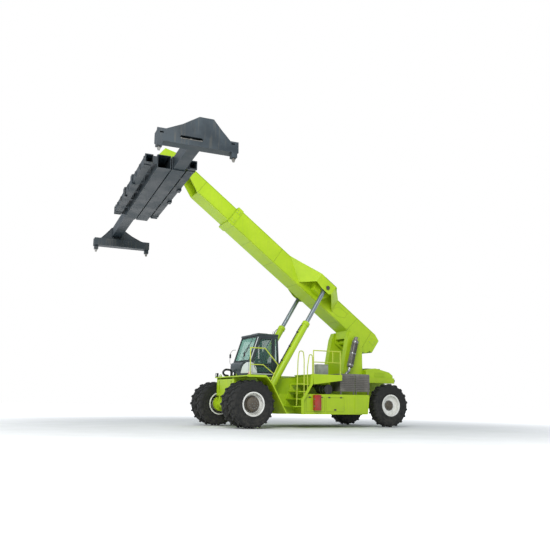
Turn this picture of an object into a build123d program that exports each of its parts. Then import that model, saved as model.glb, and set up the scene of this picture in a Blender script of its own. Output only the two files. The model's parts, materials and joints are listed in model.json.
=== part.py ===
from build123d import *
import os
from math import cos, radians, sin

# Reach stacker. Millimetres. +X is the driving direction, +Y the left side, +Z up.
# The origin is on the ground under the middle of the machine.

# ---- driving dimensions -------------------------------------------------------------
FRONT_X = 1000.0  # drive axle, ahead of the origin
WHEELBASE = 6250.0
REAR_X = FRONT_X - WHEELBASE
TYRE_R = 850.0  # out to the lugs' tips
TYRE_W = 490.0
LUG_DEPTH = 35.0
LUG_COUNT = 12  # on each shoulder
LUG_W = 96.0
LUG_SLANT = 12.0
FACETS = 2 * LUG_COUNT
SHOULDER = 65.0
BEAD_HALF = 200.0  # half the rim's width between its lips
LIP = 20.0
RIM_R = 400.0  # bead seat
RIM_WALL = 16.0
LIP_R = 428.0
DUAL_INNER_Y = 1225.0
DUAL_OUTER_Y = 1845.0
STEER_TYRE_Y = 1500.0
KINGPIN_Y = 1200.0
HUB_R = 235.0
SPINDLE_R = 110.0
STEER_SPINDLE_R = 75.0
STEER_HUB_R = 145.0
RUNNING_FIT = 0.1  # radial play of a shaft in its bearing

FRAME_Y = 620.0  # outer face of the wide side plates
REAR_FRAME_Y = 470.0  # outer face of the plates between the steered wheels
PLATE = 40.0
NOSE_X = FRONT_X + 220.0  # frame's front face, just ahead of the drive axle
NOSE_Y = 810.0
FRAME_BOTTOM = 500.0
FRAME_TOP = 1820.0
WAIST_X = REAR_X + 750.0  # where the wide frame ends
TAIL_X = REAR_X - 600.0

DECK_TOP = 1860.0
DECK_EDGE_Y = 2060.0
DECK_Y = 920.0  # half the deck's width under the cab
DECK_FRONT = FRONT_X + 264.0
GUARD_TOP_X = FRONT_X - 480.0  # where a mudguard starts to slope
SHEET = 30.0

PIVOT_X = REAR_X + 1000.0  # boom hinge
PIVOT_Z = 3450.0
PIVOT_PIN_R = 95.0
BOOM_ANGLE = 35.5
BOOM_HALF_W = 450.0
BOOM_LOW = 240.0  # underside, measured from the hinge across the boom
BOOM_HIGH = 980.0
BOOM_WALL = 30.0
BOOM_END = 7200.0
BOOM_TAIL = -1080.0
INNER_GAP = 30.0
INNER_WALL = 25.0
INNER_REAR = 1400.0
HEAD_ALONG = 10670.0  # head pin, measured along the boom from the hinge
NOSE_START = HEAD_ALONG - 1870.0
HEAD_ACROSS = 0.0
HEAD_PIN_R = 70.0
SIDE_PLAY = 20.0  # between a lug and the ears beside it

LIFT_Y = 1000.0
LIFT_BASE_X = FRONT_X - 1040.0
LIFT_BASE_Z = 1180.0
LIFT_EYE_ALONG = 2487.0  # upper pin, in the boom's own directions
LIFT_EYE_ACROSS = 676.0
BARREL_R = 135.0
BARREL_LENGTH = 3300.0
ROD_R = 85.0
ROD_TAIL = 1760.0  # rod's lower end, from the base pin
EYE_R = 120.0
EYE_W = 240.0
LIFT_PIN_R = 60.0

SLEW_AT_REST = 4.4
SLOPE_AT_REST = 2.4
PIN_OVER_CORNERS = 1820.0  # head pin above the twist locks' seats
SLOPE_OVER_CORNERS = 1250.0
ARM_X = 250.0
ARM_W = 400.0
ARM_LOW = 640.0
ARM_HIGH = 1060.0
ARM_WALL = 16.0
ARM_INNER_END = 150.0
SLIDE_GAP = 10.0
TUBE_WALL = 20.0
FRAME_HALF_L = 2950.0
CORNER_X = 1129.5  # half the standard spacing of the corner castings across
CORNER_Y = 5992.5  # and along
BEAM_Y = 6050.0
BEAM_PLATE = 40.0

CAB_Y = 750.0
CAB_FLOOR = 1900.0
CAB_ROOF = 3430.0
CAB_WALL = 50.0
CAB_REAR = -1700.0  # stations from the drive axle
CAB_NOSE = -180.0
CAB_BROW = -430.0  # foot of the windscreen
CAB_FRONT_TOP = -777.0
CAB_WAIST = 2430.0


# ---- helpers ------------------------------------------------------------------------
def block(x0, x1, y0, y1, z0, z1):
    """A box between two corners."""
    size = (abs(x1 - x0), abs(y1 - y0), abs(z1 - z0))
    return Pos((x0 + x1) / 2, (y0 + y1) / 2, (z0 + z1) / 2) * Box(*size)


def outline(points, corner=0.0):
    """A flat face from corner points, with its corners rounded where asked."""
    face = make_face(Polyline(*points, close=True))
    if corner:
        face = fillet(face.vertices(), corner)
    return face


def rounded(points):
    """A flat face from corners given as (x, y, radius)."""
    face = make_face(Polyline(*[(x, y) for x, y, _ in points], close=True))
    for x, y, radius in points:
        if radius:
            face = fillet(face.vertices().sort_by_distance((x, y, 0))[0], radius)
    return face


def side_face(face, y0, y1):
    """A flat face drawn in X and Z, thick from y0 to y1."""
    plane = Plane(origin=(0, y1, 0), x_dir=(1, 0, 0), z_dir=(0, -1, 0))
    return extrude(plane * face, amount=y1 - y0)


def side_plate(points, y0, y1, corner=0.0):
    """An outline in X and Z, thick from y0 to y1."""
    low, high = min(y0, y1), max(y0, y1)
    plane = Plane(origin=(0, high, 0), x_dir=(1, 0, 0), z_dir=(0, -1, 0))
    return extrude(plane * outline(points, corner), amount=high - low)


def cross_plate(points, x0, x1, corner=0.0):
    """An outline in Y and Z, thick from x0 to x1."""
    plane = Plane(origin=(x0, 0, 0), x_dir=(0, 1, 0), z_dir=(1, 0, 0))
    return extrude(plane * outline(points, corner), amount=x1 - x0)


def flat_plate(points, z0, z1, corner=0.0):
    """An outline in X and Y, thick from z0 to z1."""
    return extrude(Pos(0, 0, z0) * outline(points, corner), amount=z1 - z0)


def y_bar(x, z, radius, y0, y1):
    """A round bar along Y."""
    return Pos(x, (y0 + y1) / 2, z) * Rot(90, 0, 0) * Cylinder(radius, abs(y1 - y0))


def x_bar(y, z, radius, x0, x1):
    """A round bar along X."""
    return Pos((x0 + x1) / 2, y, z) * Rot(0, 90, 0) * Cylinder(radius, abs(x1 - x0))


def z_bar(x, y, radius, z0, z1):
    """A round bar along Z."""
    return Pos(x, y, (z0 + z1) / 2) * Cylinder(radius, abs(z1 - z0))


def rail(points, radius):
    """A bent round rail through the given points, mitred at its corners."""
    path = Polyline(*points)
    start = Vector(*points[0])
    run = Vector(*points[1]) - start
    profile = Plane(origin=start, z_dir=run) * Circle(radius)
    return sweep(profile, path=path, transition=Transition.RIGHT)


def both_sides(shape):
    """A shape and its mirror image on the other side of the machine."""
    return [shape, mirror(shape, about=Plane.XZ)]


def sheet_box(body, wall):
    """A closed box of sheet metal from its solid form."""
    return body - offset(body, amount=-wall, kind=Kind.INTERSECTION)


def joined(parts):
    """One body from a list of parts that touch or overlap."""
    return parts[0].fuse(*parts[1:]).clean() if len(parts) > 1 else parts[0]


def apart(parts):
    """Several bodies in one node."""
    solids = []
    for part in parts:
        solids += part.solids()
    return Compound(children=solids)


def polar(x, z, radius, angle):
    """A point at an angle about (x, z)."""
    return (x + radius * cos(radians(angle)), z + radius * sin(radians(angle)))


# ---- wheels -------------------------------------------------------------------------
def ring_prism(across, width, chamfered=0.0):
    """A flat-sided ring blank: FACETS sides, its size measured across the flats."""
    flat_up = 180.0 / FACETS
    section = RegularPolygon(across, FACETS, major_radius=False, rotation=flat_up)
    blank = extrude(section, width / 2, both=True)
    if chamfered:
        blank = chamfer(blank.faces().filter_by(Axis.Z).edges(), chamfered)
    return blank


def tyre(x, centre_y):
    """A tyre of flat facets, each with a slanted lug on one shoulder, left and right in turn."""
    base_r = TYRE_R - LUG_DEPTH
    half = TYRE_W / 2
    flare = half - BEAD_HALF
    carcass = ring_prism(base_r, TYRE_W, SHOULDER) - ring_prism(RIM_R + 0.5, TYRE_W + 2)
    recess = Pos(0, 0, half + flare / 2) * ring_prism(LIP_R + 4 + flare, 3 * flare, flare)
    carcass = carcass - recess - mirror(recess, about=Plane.XY)
    lug_side = [
        (base_r - SHOULDER, 20),
        (TYRE_R, 45),
        (TYRE_R, half - 60),
        (base_r - SHOULDER, half - 5),
    ]
    lug_face = make_face(Polyline(*[(r, 0, w) for r, w in lug_side], close=True))
    lug = Rot(LUG_SLANT, 0, 0) * extrude(lug_face, amount=LUG_W / 2, both=True)
    lugs = []
    for k in range(LUG_COUNT):
        turn = 360.0 * k / LUG_COUNT
        lugs.append(Rot(0, 0, turn) * lug)
        lugs.append(Rot(0, 0, turn + 180.0 / LUG_COUNT) * Rot(180, 0, 0) * lug)
    body = Rot(0, 0, 90) * carcass.fuse(*lugs)
    return Pos(x, centre_y, TYRE_R) * Rot(90, 0, 0) * body


def turned(profile, x):
    """A body turned about a left wheel's axis from radius and Y points."""
    points = [(r, 0, -y) for r, y in profile]
    body = revolve(make_face(Polyline(*points, close=True)), axis=Axis.Z)
    return Pos(x, 0, TYRE_R) * Rot(90, 0, 0) * body


def front_rims():
    """Rims of a dual pair as one turned body: lips, bead seats, spacer, disc and hub drum."""
    inner_in, inner_out = DUAL_INNER_Y - BEAD_HALF, DUAL_INNER_Y + BEAD_HALF
    outer_in, outer_out = DUAL_OUTER_Y - BEAD_HALF, DUAL_OUTER_Y + BEAD_HALF
    disc_y = DUAL_OUTER_Y + 15
    bore = SPINDLE_R + RUNNING_FIT
    inside = RIM_R - RIM_WALL
    return turned(
        [
            (inside, inner_in - LIP),
            (LIP_R, inner_in - LIP),
            (LIP_R, inner_in),
            (RIM_R, inner_in),
            (RIM_R, inner_out),
            (LIP_R, inner_out),
            (LIP_R, outer_in),
            (RIM_R, outer_in),
            (RIM_R, outer_out),
            (LIP_R, outer_out),
            (LIP_R, outer_out + LIP),
            (inside, outer_out + LIP),
            (inside, disc_y + 25),
            (HUB_R, disc_y + 25),
            (HUB_R, disc_y + 170),
            (HUB_R - 40, disc_y + 200),
            (0, disc_y + 200),
            (0, DUAL_OUTER_Y + 60),
            (bore, DUAL_OUTER_Y + 60),
            (bore, DUAL_INNER_Y - 160),
            (HUB_R - 20, DUAL_INNER_Y - 160),
            (HUB_R - 20, disc_y),
            (inside, disc_y),
        ],
        FRONT_X,
    )


def rear_rim():
    """The single rim of a steered wheel, dished inwards to its hub."""
    y_in, y_out = STEER_TYRE_Y - BEAD_HALF, STEER_TYRE_Y + BEAD_HALF
    disc_y = STEER_TYRE_Y + 40
    bore = STEER_SPINDLE_R + RUNNING_FIT
    inside = RIM_R - RIM_WALL
    return turned(
        [
            (inside, y_in - LIP),
            (LIP_R, y_in - LIP),
            (LIP_R, y_in),
            (RIM_R, y_in),
            (RIM_R, y_out),
            (LIP_R, y_out),
            (LIP_R, y_out + LIP),
            (inside, y_out + LIP),
            (inside, disc_y + 25),
            (STEER_HUB_R, disc_y + 25),
            (STEER_HUB_R, disc_y + 90),
            (STEER_HUB_R - 25, disc_y + 110),
            (0, disc_y + 110),
            (0, STEER_TYRE_Y + 80),
            (bore, STEER_TYRE_Y + 80),
            (bore, STEER_TYRE_Y - 120),
            (STEER_HUB_R, STEER_TYRE_Y - 120),
            (STEER_HUB_R, disc_y),
            (inside, disc_y),
        ],
        REAR_X,
    )


# ---- axles --------------------------------------------------------------------------
def drive_axle():
    """Axle housing with its gear case, brake drums, spindles and frame pads."""
    case = chamfer(y_bar(0, TYRE_R, 300, -170, 170).edges(), 90)
    nose = x_bar(0, TYRE_R, 120, -420, 0)
    tube = y_bar(0, TYRE_R, 190, -930, 930)
    parts = [tube, case, nose]
    for side in (-1, 1):
        parts.append(y_bar(0, TYRE_R, 290, side * 830, side * 1000))
        parts.append(y_bar(0, TYRE_R, SPINDLE_R, side * 1000, side * (DUAL_OUTER_Y + 55)))
        pad_y = side * (FRAME_Y - PLATE / 2)
        parts.append(block(-190, 190, pad_y - 70, pad_y + 70, TYRE_R + 80, AXLE_NOTCH_TOP))
    return Pos(FRONT_X, 0, 0) * joined(parts)


AXLE_NOTCH_TOP = 1150.0
STEER_BEAM_HALF_H = 140.0
FORK_GAP = 160.0  # half the space between a fork's arms
STEER_AXLE_TOP = 1040.0


def steer_axle():
    """Beam axle with a fork for the kingpin at each end and its steering cylinder."""
    z = TYRE_R
    half = STEER_BEAM_HALF_H
    beam = block(-140, 140, -940, 940, z - half, z + half)
    parts = [beam, block(-120, 120, -180, 180, z + half, STEER_AXLE_TOP)]
    for side in (-1, 1):
        head = block(-110, 110, side * 850, side * 950, z - 260, z + 260)
        parts.append(head)
        for low in (z - 260, z + FORK_GAP):
            arm = block(-110, 110, side * 940, side * KINGPIN_Y, low, low + 100)
            tip = z_bar(0, side * KINGPIN_Y, 110, low, low + 100)
            parts += [arm, tip]
    axle = joined(parts)
    for side in (-1, 1):
        bore = z_bar(0, side * KINGPIN_Y, KINGPIN_R + RUNNING_FIT, z - 300, z + 300)
        axle = axle - bore
    cylinder = y_bar(-230, z, 70, -330, 330)
    rods = y_bar(-230, z, 32, -520, 520)
    saddle = block(-230, -140, -120, 120, z - 60, z + 60)
    axle = joined([axle, cylinder, rods, saddle])
    return Pos(REAR_X, 0, 0) * axle


KINGPIN_R = 50.0


def knuckle():
    """Left steering knuckle: kingpin, boss, spindle and steering arm."""
    z = TYRE_R
    gap = FORK_GAP - 8
    boss = z_bar(0, KINGPIN_Y, 95, z - gap, z + gap)
    pin = z_bar(0, KINGPIN_Y, KINGPIN_R, z - 265, z + 265)
    spindle = y_bar(0, z, STEER_SPINDLE_R, KINGPIN_Y, STEER_TYRE_Y + 70)
    arm_plan = [(-40, 1120), (40, 1160), (40, 1230), (-60, 1230), (-220, 1170), (-220, 1110)]
    arm = flat_plate([(x, y) for x, y in arm_plan], z - 60, z - 20, 12)
    return Pos(REAR_X, 0, 0) * joined([boss, pin, spindle, arm])


# ---- frame --------------------------------------------------------------------------
def main_frame():
    """Two side plates with a notch for the drive axle, narrowed between the steered wheels."""
    fx = FRONT_X
    side = [
        (NOSE_X - PLATE, FRAME_TOP),
        (NOSE_X - PLATE, AXLE_NOTCH_TOP),
        (fx - 270, AXLE_NOTCH_TOP),
        (fx - 330, AXLE_NOTCH_TOP - 60),
        (fx - 330, FRAME_BOTTOM),
        (PIVOT_X + 500, FRAME_BOTTOM),
        (WAIST_X, 900),
        (WAIST_X, TOWER_BASE),
        (TOWER_FRONT + 20, TOWER_BASE),
        (TOWER_FRONT + 110, FRAME_TOP),
    ]
    parts = both_sides(side_plate(side, FRAME_Y - PLATE, FRAME_Y))
    inner = FRAME_Y - PLATE
    parts += frame_nose()
    for x, low in ((fx - 700, 1200), (fx - 1750, 520), (fx - 2380, 520), (PIVOT_X + 690, 520)):
        parts.append(block(x - 15, x + 15, -inner, inner, low, FRAME_TOP - 20))
    for x in (-2750, -4050):
        parts.append(block(fx + x - 60, fx + x + 60, -inner, inner, 520, ENGINE_LOW))
    waist = [(-FRAME_Y, 900), (FRAME_Y, 900), (FRAME_Y, TOWER_BASE), (-FRAME_Y, TOWER_BASE)]
    parts.append(cross_plate(waist, WAIST_X - PLATE, WAIST_X))
    parts.append(block(WAIST_X, TOWER_FRONT + 20, -760, 760, TOWER_BASE - 40, TOWER_BASE))
    tail = [
        (WAIST_X, STEER_FRAME_LOW + 160),
        (REAR_X + 300, STEER_FRAME_LOW),
        (REAR_X - 300, STEER_FRAME_LOW),
        (TAIL_X, STEER_FRAME_LOW + 60),
        (TAIL_X, COUNTER_LOW),
        (WAIST_X, COUNTER_LOW),
    ]
    parts += both_sides(side_plate(tail, REAR_FRAME_Y - PLATE, REAR_FRAME_Y))
    saddle_y = REAR_FRAME_Y - PLATE
    saddle = block(REAR_X - 160, REAR_X + 160, -saddle_y, saddle_y, STEER_AXLE_TOP, 1120)
    parts.append(saddle)
    parts += both_sides(lift_base())
    return joined(parts)


def frame_nose():
    """Front cross plate with two slots and short cheeks beside the drive axle's brackets."""
    top = FRAME_TOP - 60
    plate = block(NOSE_X - PLATE, NOSE_X, -NOSE_Y, NOSE_Y, AXLE_NOTCH_TOP, top)
    for y in (-560, 560):
        slot = block(NOSE_X - PLATE - 1, NOSE_X + 1, y - 30, y + 30, 1240, top - 60)
        plate = plate - fillet(slot.edges().filter_by(Axis.X), 25)
    cheek = block(FRONT_X - 330, NOSE_X, NOSE_Y - 20, NOSE_Y, AXLE_NOTCH_TOP + 30, FRAME_TOP)
    rib = block(FRONT_X - 330, FRONT_X - 310, FRAME_Y, NOSE_Y - 20, AXLE_NOTCH_TOP + 30, FRAME_TOP)
    return [plate] + both_sides(cheek) + both_sides(rib)


TOWER_FRONT = PIVOT_X + 690.0
TOWER_BASE = 1950.0
ENGINE_LOW = 640.0
STEER_FRAME_LOW = 1040.0
COUNTER_LOW = 1740.0


def lift_base():
    """Ears on a shelf outside the frame that hold the foot of a lift cylinder."""
    inner_ear = LIFT_Y - EYE_W / 2 - SIDE_PLAY
    outer_ear = LIFT_Y + EYE_W / 2 + SIDE_PLAY
    x, z = LIFT_BASE_X, LIFT_BASE_Z
    ear = [
        (x + 130, 900),
        polar(x, z, 140, 0),
        polar(x, z, 150, 45),
        polar(x, z, 150, 90),
        polar(x, z, 150, 135),
        (x - 260, 900),
    ]
    parts = [side_plate(ear, inner_ear - 40, inner_ear)]
    parts.append(side_plate(ear, outer_ear, outer_ear + 40))
    parts.append(block(x - 260, x + 130, FRAME_Y, outer_ear + 40, 860, 900))
    parts.append(block(x - 200, x - 160, FRAME_Y, inner_ear, 900, 1180))
    parts.append(y_bar(x, z, LIFT_PIN_R, inner_ear - 60, outer_ear + 60))
    return joined(parts)


def towers():
    """Two box columns that carry the boom hinge, tied together at the foot."""
    x = PIVOT_X
    side = [
        (TOWER_FRONT, TOWER_BASE, 0),
        (x + 380, PIVOT_Z + 100, 0),
        (x + 250, PIVOT_Z + 400, 60),
        (x + 60, PIVOT_Z + 400, 160),
        (x - 295, PIVOT_Z - 20, 60),
        (x - 310, TOWER_BASE, 0),
    ]
    y_in, y_out = BOOM_HALF_W + SIDE_PLAY + 20, 760
    column = side_face(rounded(side), y_in, y_out)
    hollow = [
        (TOWER_FRONT - 100, TOWER_BASE + 60),
        (x + 290, PIVOT_Z - 300),
        (x - 250, PIVOT_Z - 300),
        (x - 260, TOWER_BASE + 60),
    ]
    column = column - side_plate(hollow, y_in + 30, y_out - 30)
    boss = y_bar(x, PIVOT_Z, 190, y_out, y_out + 25)
    cover = y_bar(x, PIVOT_Z, 120, y_out + 25, y_out + 40)
    gusset = [(x + 690, TOWER_BASE), (x + 690, TOWER_BASE + 60), (x + 600, TOWER_BASE + 260),
              (x + 580, TOWER_BASE + 260), (x + 580, TOWER_BASE)]
    column = joined([column, boss, cover, side_plate(gusset, y_out, y_out + 30)])
    column = column - y_bar(x, PIVOT_Z, PIVOT_PIN_R + RUNNING_FIT, y_in - 10, y_out - 50)
    tie = block(x - 230, x - 190, -y_in, y_in, TOWER_BASE, TOWER_BASE + 420)
    brace = block(x + 290, x + 330, -y_in, y_in, TOWER_BASE, TOWER_BASE + 180)
    return joined(both_sides(column) + [tie, brace])


def counterweight():
    """Cast weight: a narrow body between the rear plates under a wide shoulder slab."""
    inner = REAR_FRAME_Y - PLATE
    body = block(TAIL_X + 20, REAR_X + 420, -inner, inner, 1120, COUNTER_LOW + 20)
    plan = [
        (WAIST_X - PLATE, -1150),
        (TAIL_X - 20, -1150),
        (TAIL_X - 130, -1000),
        (TAIL_X - 130, 1000),
        (TAIL_X - 20, 1150),
        (WAIST_X - PLATE, 1150),
    ]
    slab = flat_plate(plan, COUNTER_LOW, COUNTER_TOP)
    jaw = block(TAIL_X - 170, TAIL_X + 40, -230, 230, 1180, 1240)
    upper_jaw = block(TAIL_X - 170, TAIL_X + 40, -230, 230, 1400, 1460)
    back = block(TAIL_X - 20, TAIL_X + 20, -inner, inner, 1120, COUNTER_LOW)
    weight = joined([body, slab, jaw, upper_jaw, back])
    notch = block(TAIL_X - 180, TAIL_X - 60, -70, 70, COUNTER_LOW - 1, 2000)
    return weight - notch - z_bar(TAIL_X - 110, 0, TOW_PIN_R, 1100, 1500)


TOW_PIN_R = 26.0
COUNTER_TOP = 1950.0


def rear_hood():
    """Sheet cover over the cooler: highest in the middle, sloping to the tail, edges rounded."""
    x0, x1 = TAIL_X - 60, WAIST_X - PLATE - 20
    return joined([hood_form(x0, x1, 0) - hood_form(x0 + 30, x1 - 30, 30)] + hood_fittings(x0, x1))


def hood_form(x0, x1, inset):
    """The hood's outer form, or its inside where an inset is given."""
    base = COUNTER_TOP - (1 if inset else 0)
    side = [
        (x1, base, 0),
        (x1, 2270 - inset, 60),
        (x1 - 480, 2340 - inset, 300),
        (x0 + 180, 2190 - inset, 100),
        (x0, 2060 - inset, 40),
        (x0, base, 0),
    ]
    half = 1000 - inset
    across = [(-half, 1900, 0), (-half, 2390 - inset, 120), (half, 2390 - inset, 120),
              (half, 1900, 0)]
    plane = Plane(origin=(x1 + 1, 0, 0), x_dir=(0, 1, 0), z_dir=(1, 0, 0))
    sides = extrude(plane * rounded(across), amount=-(x1 - x0 + 2))
    return side_face(rounded(side), -half, half) & sides


def hood_fittings(x0, x1):
    """Filler cap on top and a raised grille frame on each side."""
    cap = z_bar(x1 - 480, 0, 45, 2320, 2385)
    parts = [cap]
    for side in (-1, 1):
        for k in range(6):
            z = 1985 + 34 * k
            parts.append(block(x0 + 420, x1 - 420, side * 995, side * 1012, z, z + 14))
    return parts


def front_deck():
    """Deck under the cab, a platform beside it and a sloping mudguard behind each pair."""
    fx = FRONT_X
    plan = [
        (DECK_FRONT, -DECK_Y),
        (DECK_FRONT, DECK_EDGE_Y),
        (GUARD_TOP_X, DECK_EDGE_Y),
        (GUARD_TOP_X, 1180),
        (fx - 900, 1180),
        (fx - 900, 800),
        (fx - 1740, 800),
        (fx - 1740, -800),
        (fx - 900, -800),
        (fx - 900, -1180),
        (GUARD_TOP_X, -1180),
        (GUARD_TOP_X, -DECK_EDGE_Y),
        (GUARD_TOP_X + 40, -DECK_EDGE_Y),
        (GUARD_TOP_X + 40, -DECK_Y),
    ]
    parts = [flat_plate(plan, FRAME_TOP, DECK_TOP)]
    guard = [
        (GUARD_TOP_X, DECK_TOP),
        (GUARD_TOP_X, FRAME_TOP),
        (GUARD_TOP_X - 235, 1570),
        (fx - 1290, 560),
        (fx - 1290, 520),
        (fx - 1330, 520),
        (fx - 1330, 560),
        (GUARD_TOP_X - 270, 1600),
        (GUARD_TOP_X - 20, DECK_TOP),
    ]
    rim = [(x - 45 if z < 1700 and x > fx - 1300 else x, z) for x, z in guard]
    for side in (-1, 1):
        parts.append(side_plate(guard, side * 1200, side * DECK_EDGE_Y))
        parts.append(side_plate(rim, side * (DECK_EDGE_Y - 12), side * (DECK_EDGE_Y + 6)))
        stay = block(fx - 1420, fx - 1290, side * FRAME_Y, side * DECK_EDGE_Y, 520, 560)
        parts.append(stay)
        parts.append(lifting_eye(fx + 120, side * 700))
    edge = block(GUARD_TOP_X, DECK_FRONT, DECK_EDGE_Y - 12, DECK_EDGE_Y + 6, 1800, DECK_TOP + 20)
    return joined(parts + [edge])


def lifting_eye(x, y):
    """A flat eye standing on the deck."""
    ear = y_bar(x, DECK_TOP + 50, 50, y - 15, y + 15)
    foot = block(x - 50, x + 50, y - 15, y + 15, DECK_TOP, DECK_TOP + 50)
    return ear + foot - y_bar(x, DECK_TOP + 50, 24, y - 16, y + 16)


BOX_TOP = 1240.0
BOX_EDGE_Y = 1950.0
BOX_WALL = 20.0


def side_boxes():
    """Long locker on the left and a rounded tank on the right, both hung on the frame."""
    fx = FRONT_X
    left = side_plate(
        [
            (fx - 2110, FRAME_BOTTOM),
            (fx - 2110, BOX_TOP),
            (PIVOT_X + 250, BOX_TOP),
            (PIVOT_X + 210, BOX_TOP - 60),
            (PIVOT_X + 290, FRAME_BOTTOM),
        ],
        FRAME_Y,
        BOX_EDGE_Y,
    )
    left = sheet_box(left, BOX_WALL)
    shoulder = sheet_box(
        block(fx - 1430, fx - 2110, FRAME_Y, FRAME_Y + 600, FRAME_BOTTOM, BOX_TOP), BOX_WALL
    )
    panel = side_plate(
        [
            (PIVOT_X + 900, FRAME_BOTTOM + 40),
            (PIVOT_X + 900, BOX_TOP - 110),
            (PIVOT_X + 830, BOX_TOP - 40),
            (PIVOT_X + 350, BOX_TOP - 40),
            (PIVOT_X + 390, FRAME_BOTTOM + 40),
        ],
        BOX_EDGE_Y,
        BOX_EDGE_Y + 14,
    )
    tank = cross_plate(
        [(-FRAME_Y, 560), (-1800, 560), (-BOX_EDGE_Y, 710), (-BOX_EDGE_Y, 1400),
         (-1800, 1550), (-FRAME_Y, 1550)],
        PIVOT_X + 290,
        fx - 2110,
    )
    tank = sheet_box(tank, BOX_WALL)
    cap = z_bar(fx - 4500, -1300, 70, 1550, 1600)
    return apart([joined([left, shoulder, panel]), joined([tank, cap])])


PLATFORM_TOP = 1970.0
PLATFORM_FRONT = FRONT_X - 2440.0
PLATFORM_REAR = FRONT_X - 3710.0
STEP_TABLE = [(-1700, 800), (-1800, 1070), (-1900, 1340), (-2010, 1600)]  # x from axle, z


def walkways():
    """Left platform with its fascia and steps, and a plain walkway on the right."""
    fx = FRONT_X
    fascia = [
        (PLATFORM_FRONT, PLATFORM_TOP),
        (PLATFORM_FRONT - 20, 1590),
        (PLATFORM_REAR, 1760),
        (PLATFORM_REAR, PLATFORM_TOP),
    ]
    out = DECK_EDGE_Y
    parts = [side_plate(fascia, out - SHEET, out)]
    parts.append(block(PLATFORM_REAR, PLATFORM_FRONT, FRAME_Y, out, PLATFORM_TOP - 40,
                       PLATFORM_TOP))
    for x, low in ((PLATFORM_FRONT - 45, 1620), (PLATFORM_REAR + 15, 1760)):
        parts.append(block(x - 15, x + 15, FRAME_Y, out, low, PLATFORM_TOP))
    stringer = [
        (PLATFORM_FRONT, PLATFORM_TOP),
        (PLATFORM_FRONT, 1800),
        (PLATFORM_FRONT + 20, 1590),
        (fx - 2050, 1010),
        (fx - 2050, FRAME_BOTTOM),
        (fx - 1930, FRAME_BOTTOM),
        (fx - 1930, 1030),
        (PLATFORM_FRONT + 130, 1600),
        (PLATFORM_FRONT + 90, PLATFORM_TOP),
    ]
    parts.append(side_plate(stringer, out - SHEET, out))
    hanger = [(fx - 1640, 540), (fx - 1900, 540), (fx - 2100, 1240), (fx - 2260, 1640),
              (fx - 1940, 1640)]
    parts.append(side_plate(hanger, FRAME_Y + 600, FRAME_Y + 600 + SHEET))
    for x, z in STEP_TABLE:
        tread = block(fx + x - 260, fx + x + 60, FRAME_Y + 600, out, z - 30, z)
        parts.append(tread - block(fx + x - 225, fx + x + 25, FRAME_Y + 660, out - 60, z - 8, z))
    left = joined(parts)
    right = block(PLATFORM_REAR, PLATFORM_FRONT, -FRAME_Y, -out, PLATFORM_TOP - 40, PLATFORM_TOP)
    skirt = block(PLATFORM_REAR, PLATFORM_FRONT, -out + SHEET, -out, 1830, PLATFORM_TOP - 40)
    leg = block(PLATFORM_REAR + 100, PLATFORM_REAR + 140, -FRAME_Y, -BOX_EDGE_Y + 200, 1550,
                PLATFORM_TOP - 40)
    leg2 = block(PLATFORM_FRONT - 140, PLATFORM_FRONT - 100, -FRAME_Y, -BOX_EDGE_Y + 200, 1550,
                 PLATFORM_TOP - 40)
    return apart([left, joined([right, skirt, leg, leg2])])


def guardrails():
    """Rails round the left platform and two hand loops beside the steps."""
    r = 20.0
    y = DECK_EDGE_Y - 60
    x0, x1 = PLATFORM_FRONT - 40, PLATFORM_REAR + 40
    base, top, mid = PLATFORM_TOP, 2850.0, 2420.0
    fence = rail([(x0, y, base), (x0, y, top), (x1, y, top), (x1, y, base)], r)
    inner_post = z_bar(x1 + 340, y, r - 4, mid, top)
    return joined([fence, x_bar(y, mid, r - 3, x1, x0), inner_post])


def cab_handrails():
    """Rails on the platform beside the cab door, sloping down along the mudguard."""
    fx = FRONT_X
    r = 20.0
    y = DECK_EDGE_Y - 40
    post = rail(
        [(fx + 140, y, DECK_TOP), (fx + 140, y, 2830), (fx - 440, y, 2830),
         (fx - 980, y, 2250), (fx - 640, y, 1560)],
        r,
    )
    mid = rail([(fx + 140, y, 2240), (fx - 370, y, 2240), (fx - 818, y, 1920)], r - 3)
    under_guard = [(fx - 500, DECK_TOP), (fx - 750, 1600), (fx - 750, 1400), (fx - 500, 1400)]
    return joined([post, mid]) - side_plate(under_guard, y - 60, y + 60)


# ---- power pack ---------------------------------------------------------------------
def engine_block():
    """Diesel engine, kept to its outer size."""
    fx = FRONT_X
    return block(fx - 4200, fx - 2560, -420, 420, ENGINE_LOW, 1640)


def gearbox_and_shaft():
    """Gearbox ahead of the engine and the propeller shaft to the drive axle."""
    fx = FRONT_X
    case = side_plate(
        [(fx - 2560, 620), (fx - 2400, 620), (fx - 2400, 1500), (fx - 2560, 1500)], -330, 330
    )
    case = case - block(fx - 2410, fx - 2365, -600, 600, 500, 1900)
    return case


def engine_deck():
    """Ribbed cover over the engine bay."""
    fx = FRONT_X
    inner = FRAME_Y
    cover = block(fx - 4450, fx - 1765, -inner, inner, FRAME_TOP, FRAME_TOP + 40)
    return cover


# ---- boom ---------------------------------------------------------------------------
def in_boom(shape):
    """From the boom's own directions to its stored place."""
    return Pos(PIVOT_X, 0, PIVOT_Z) * Rot(0, -BOOM_ANGLE, 0) * shape


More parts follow.
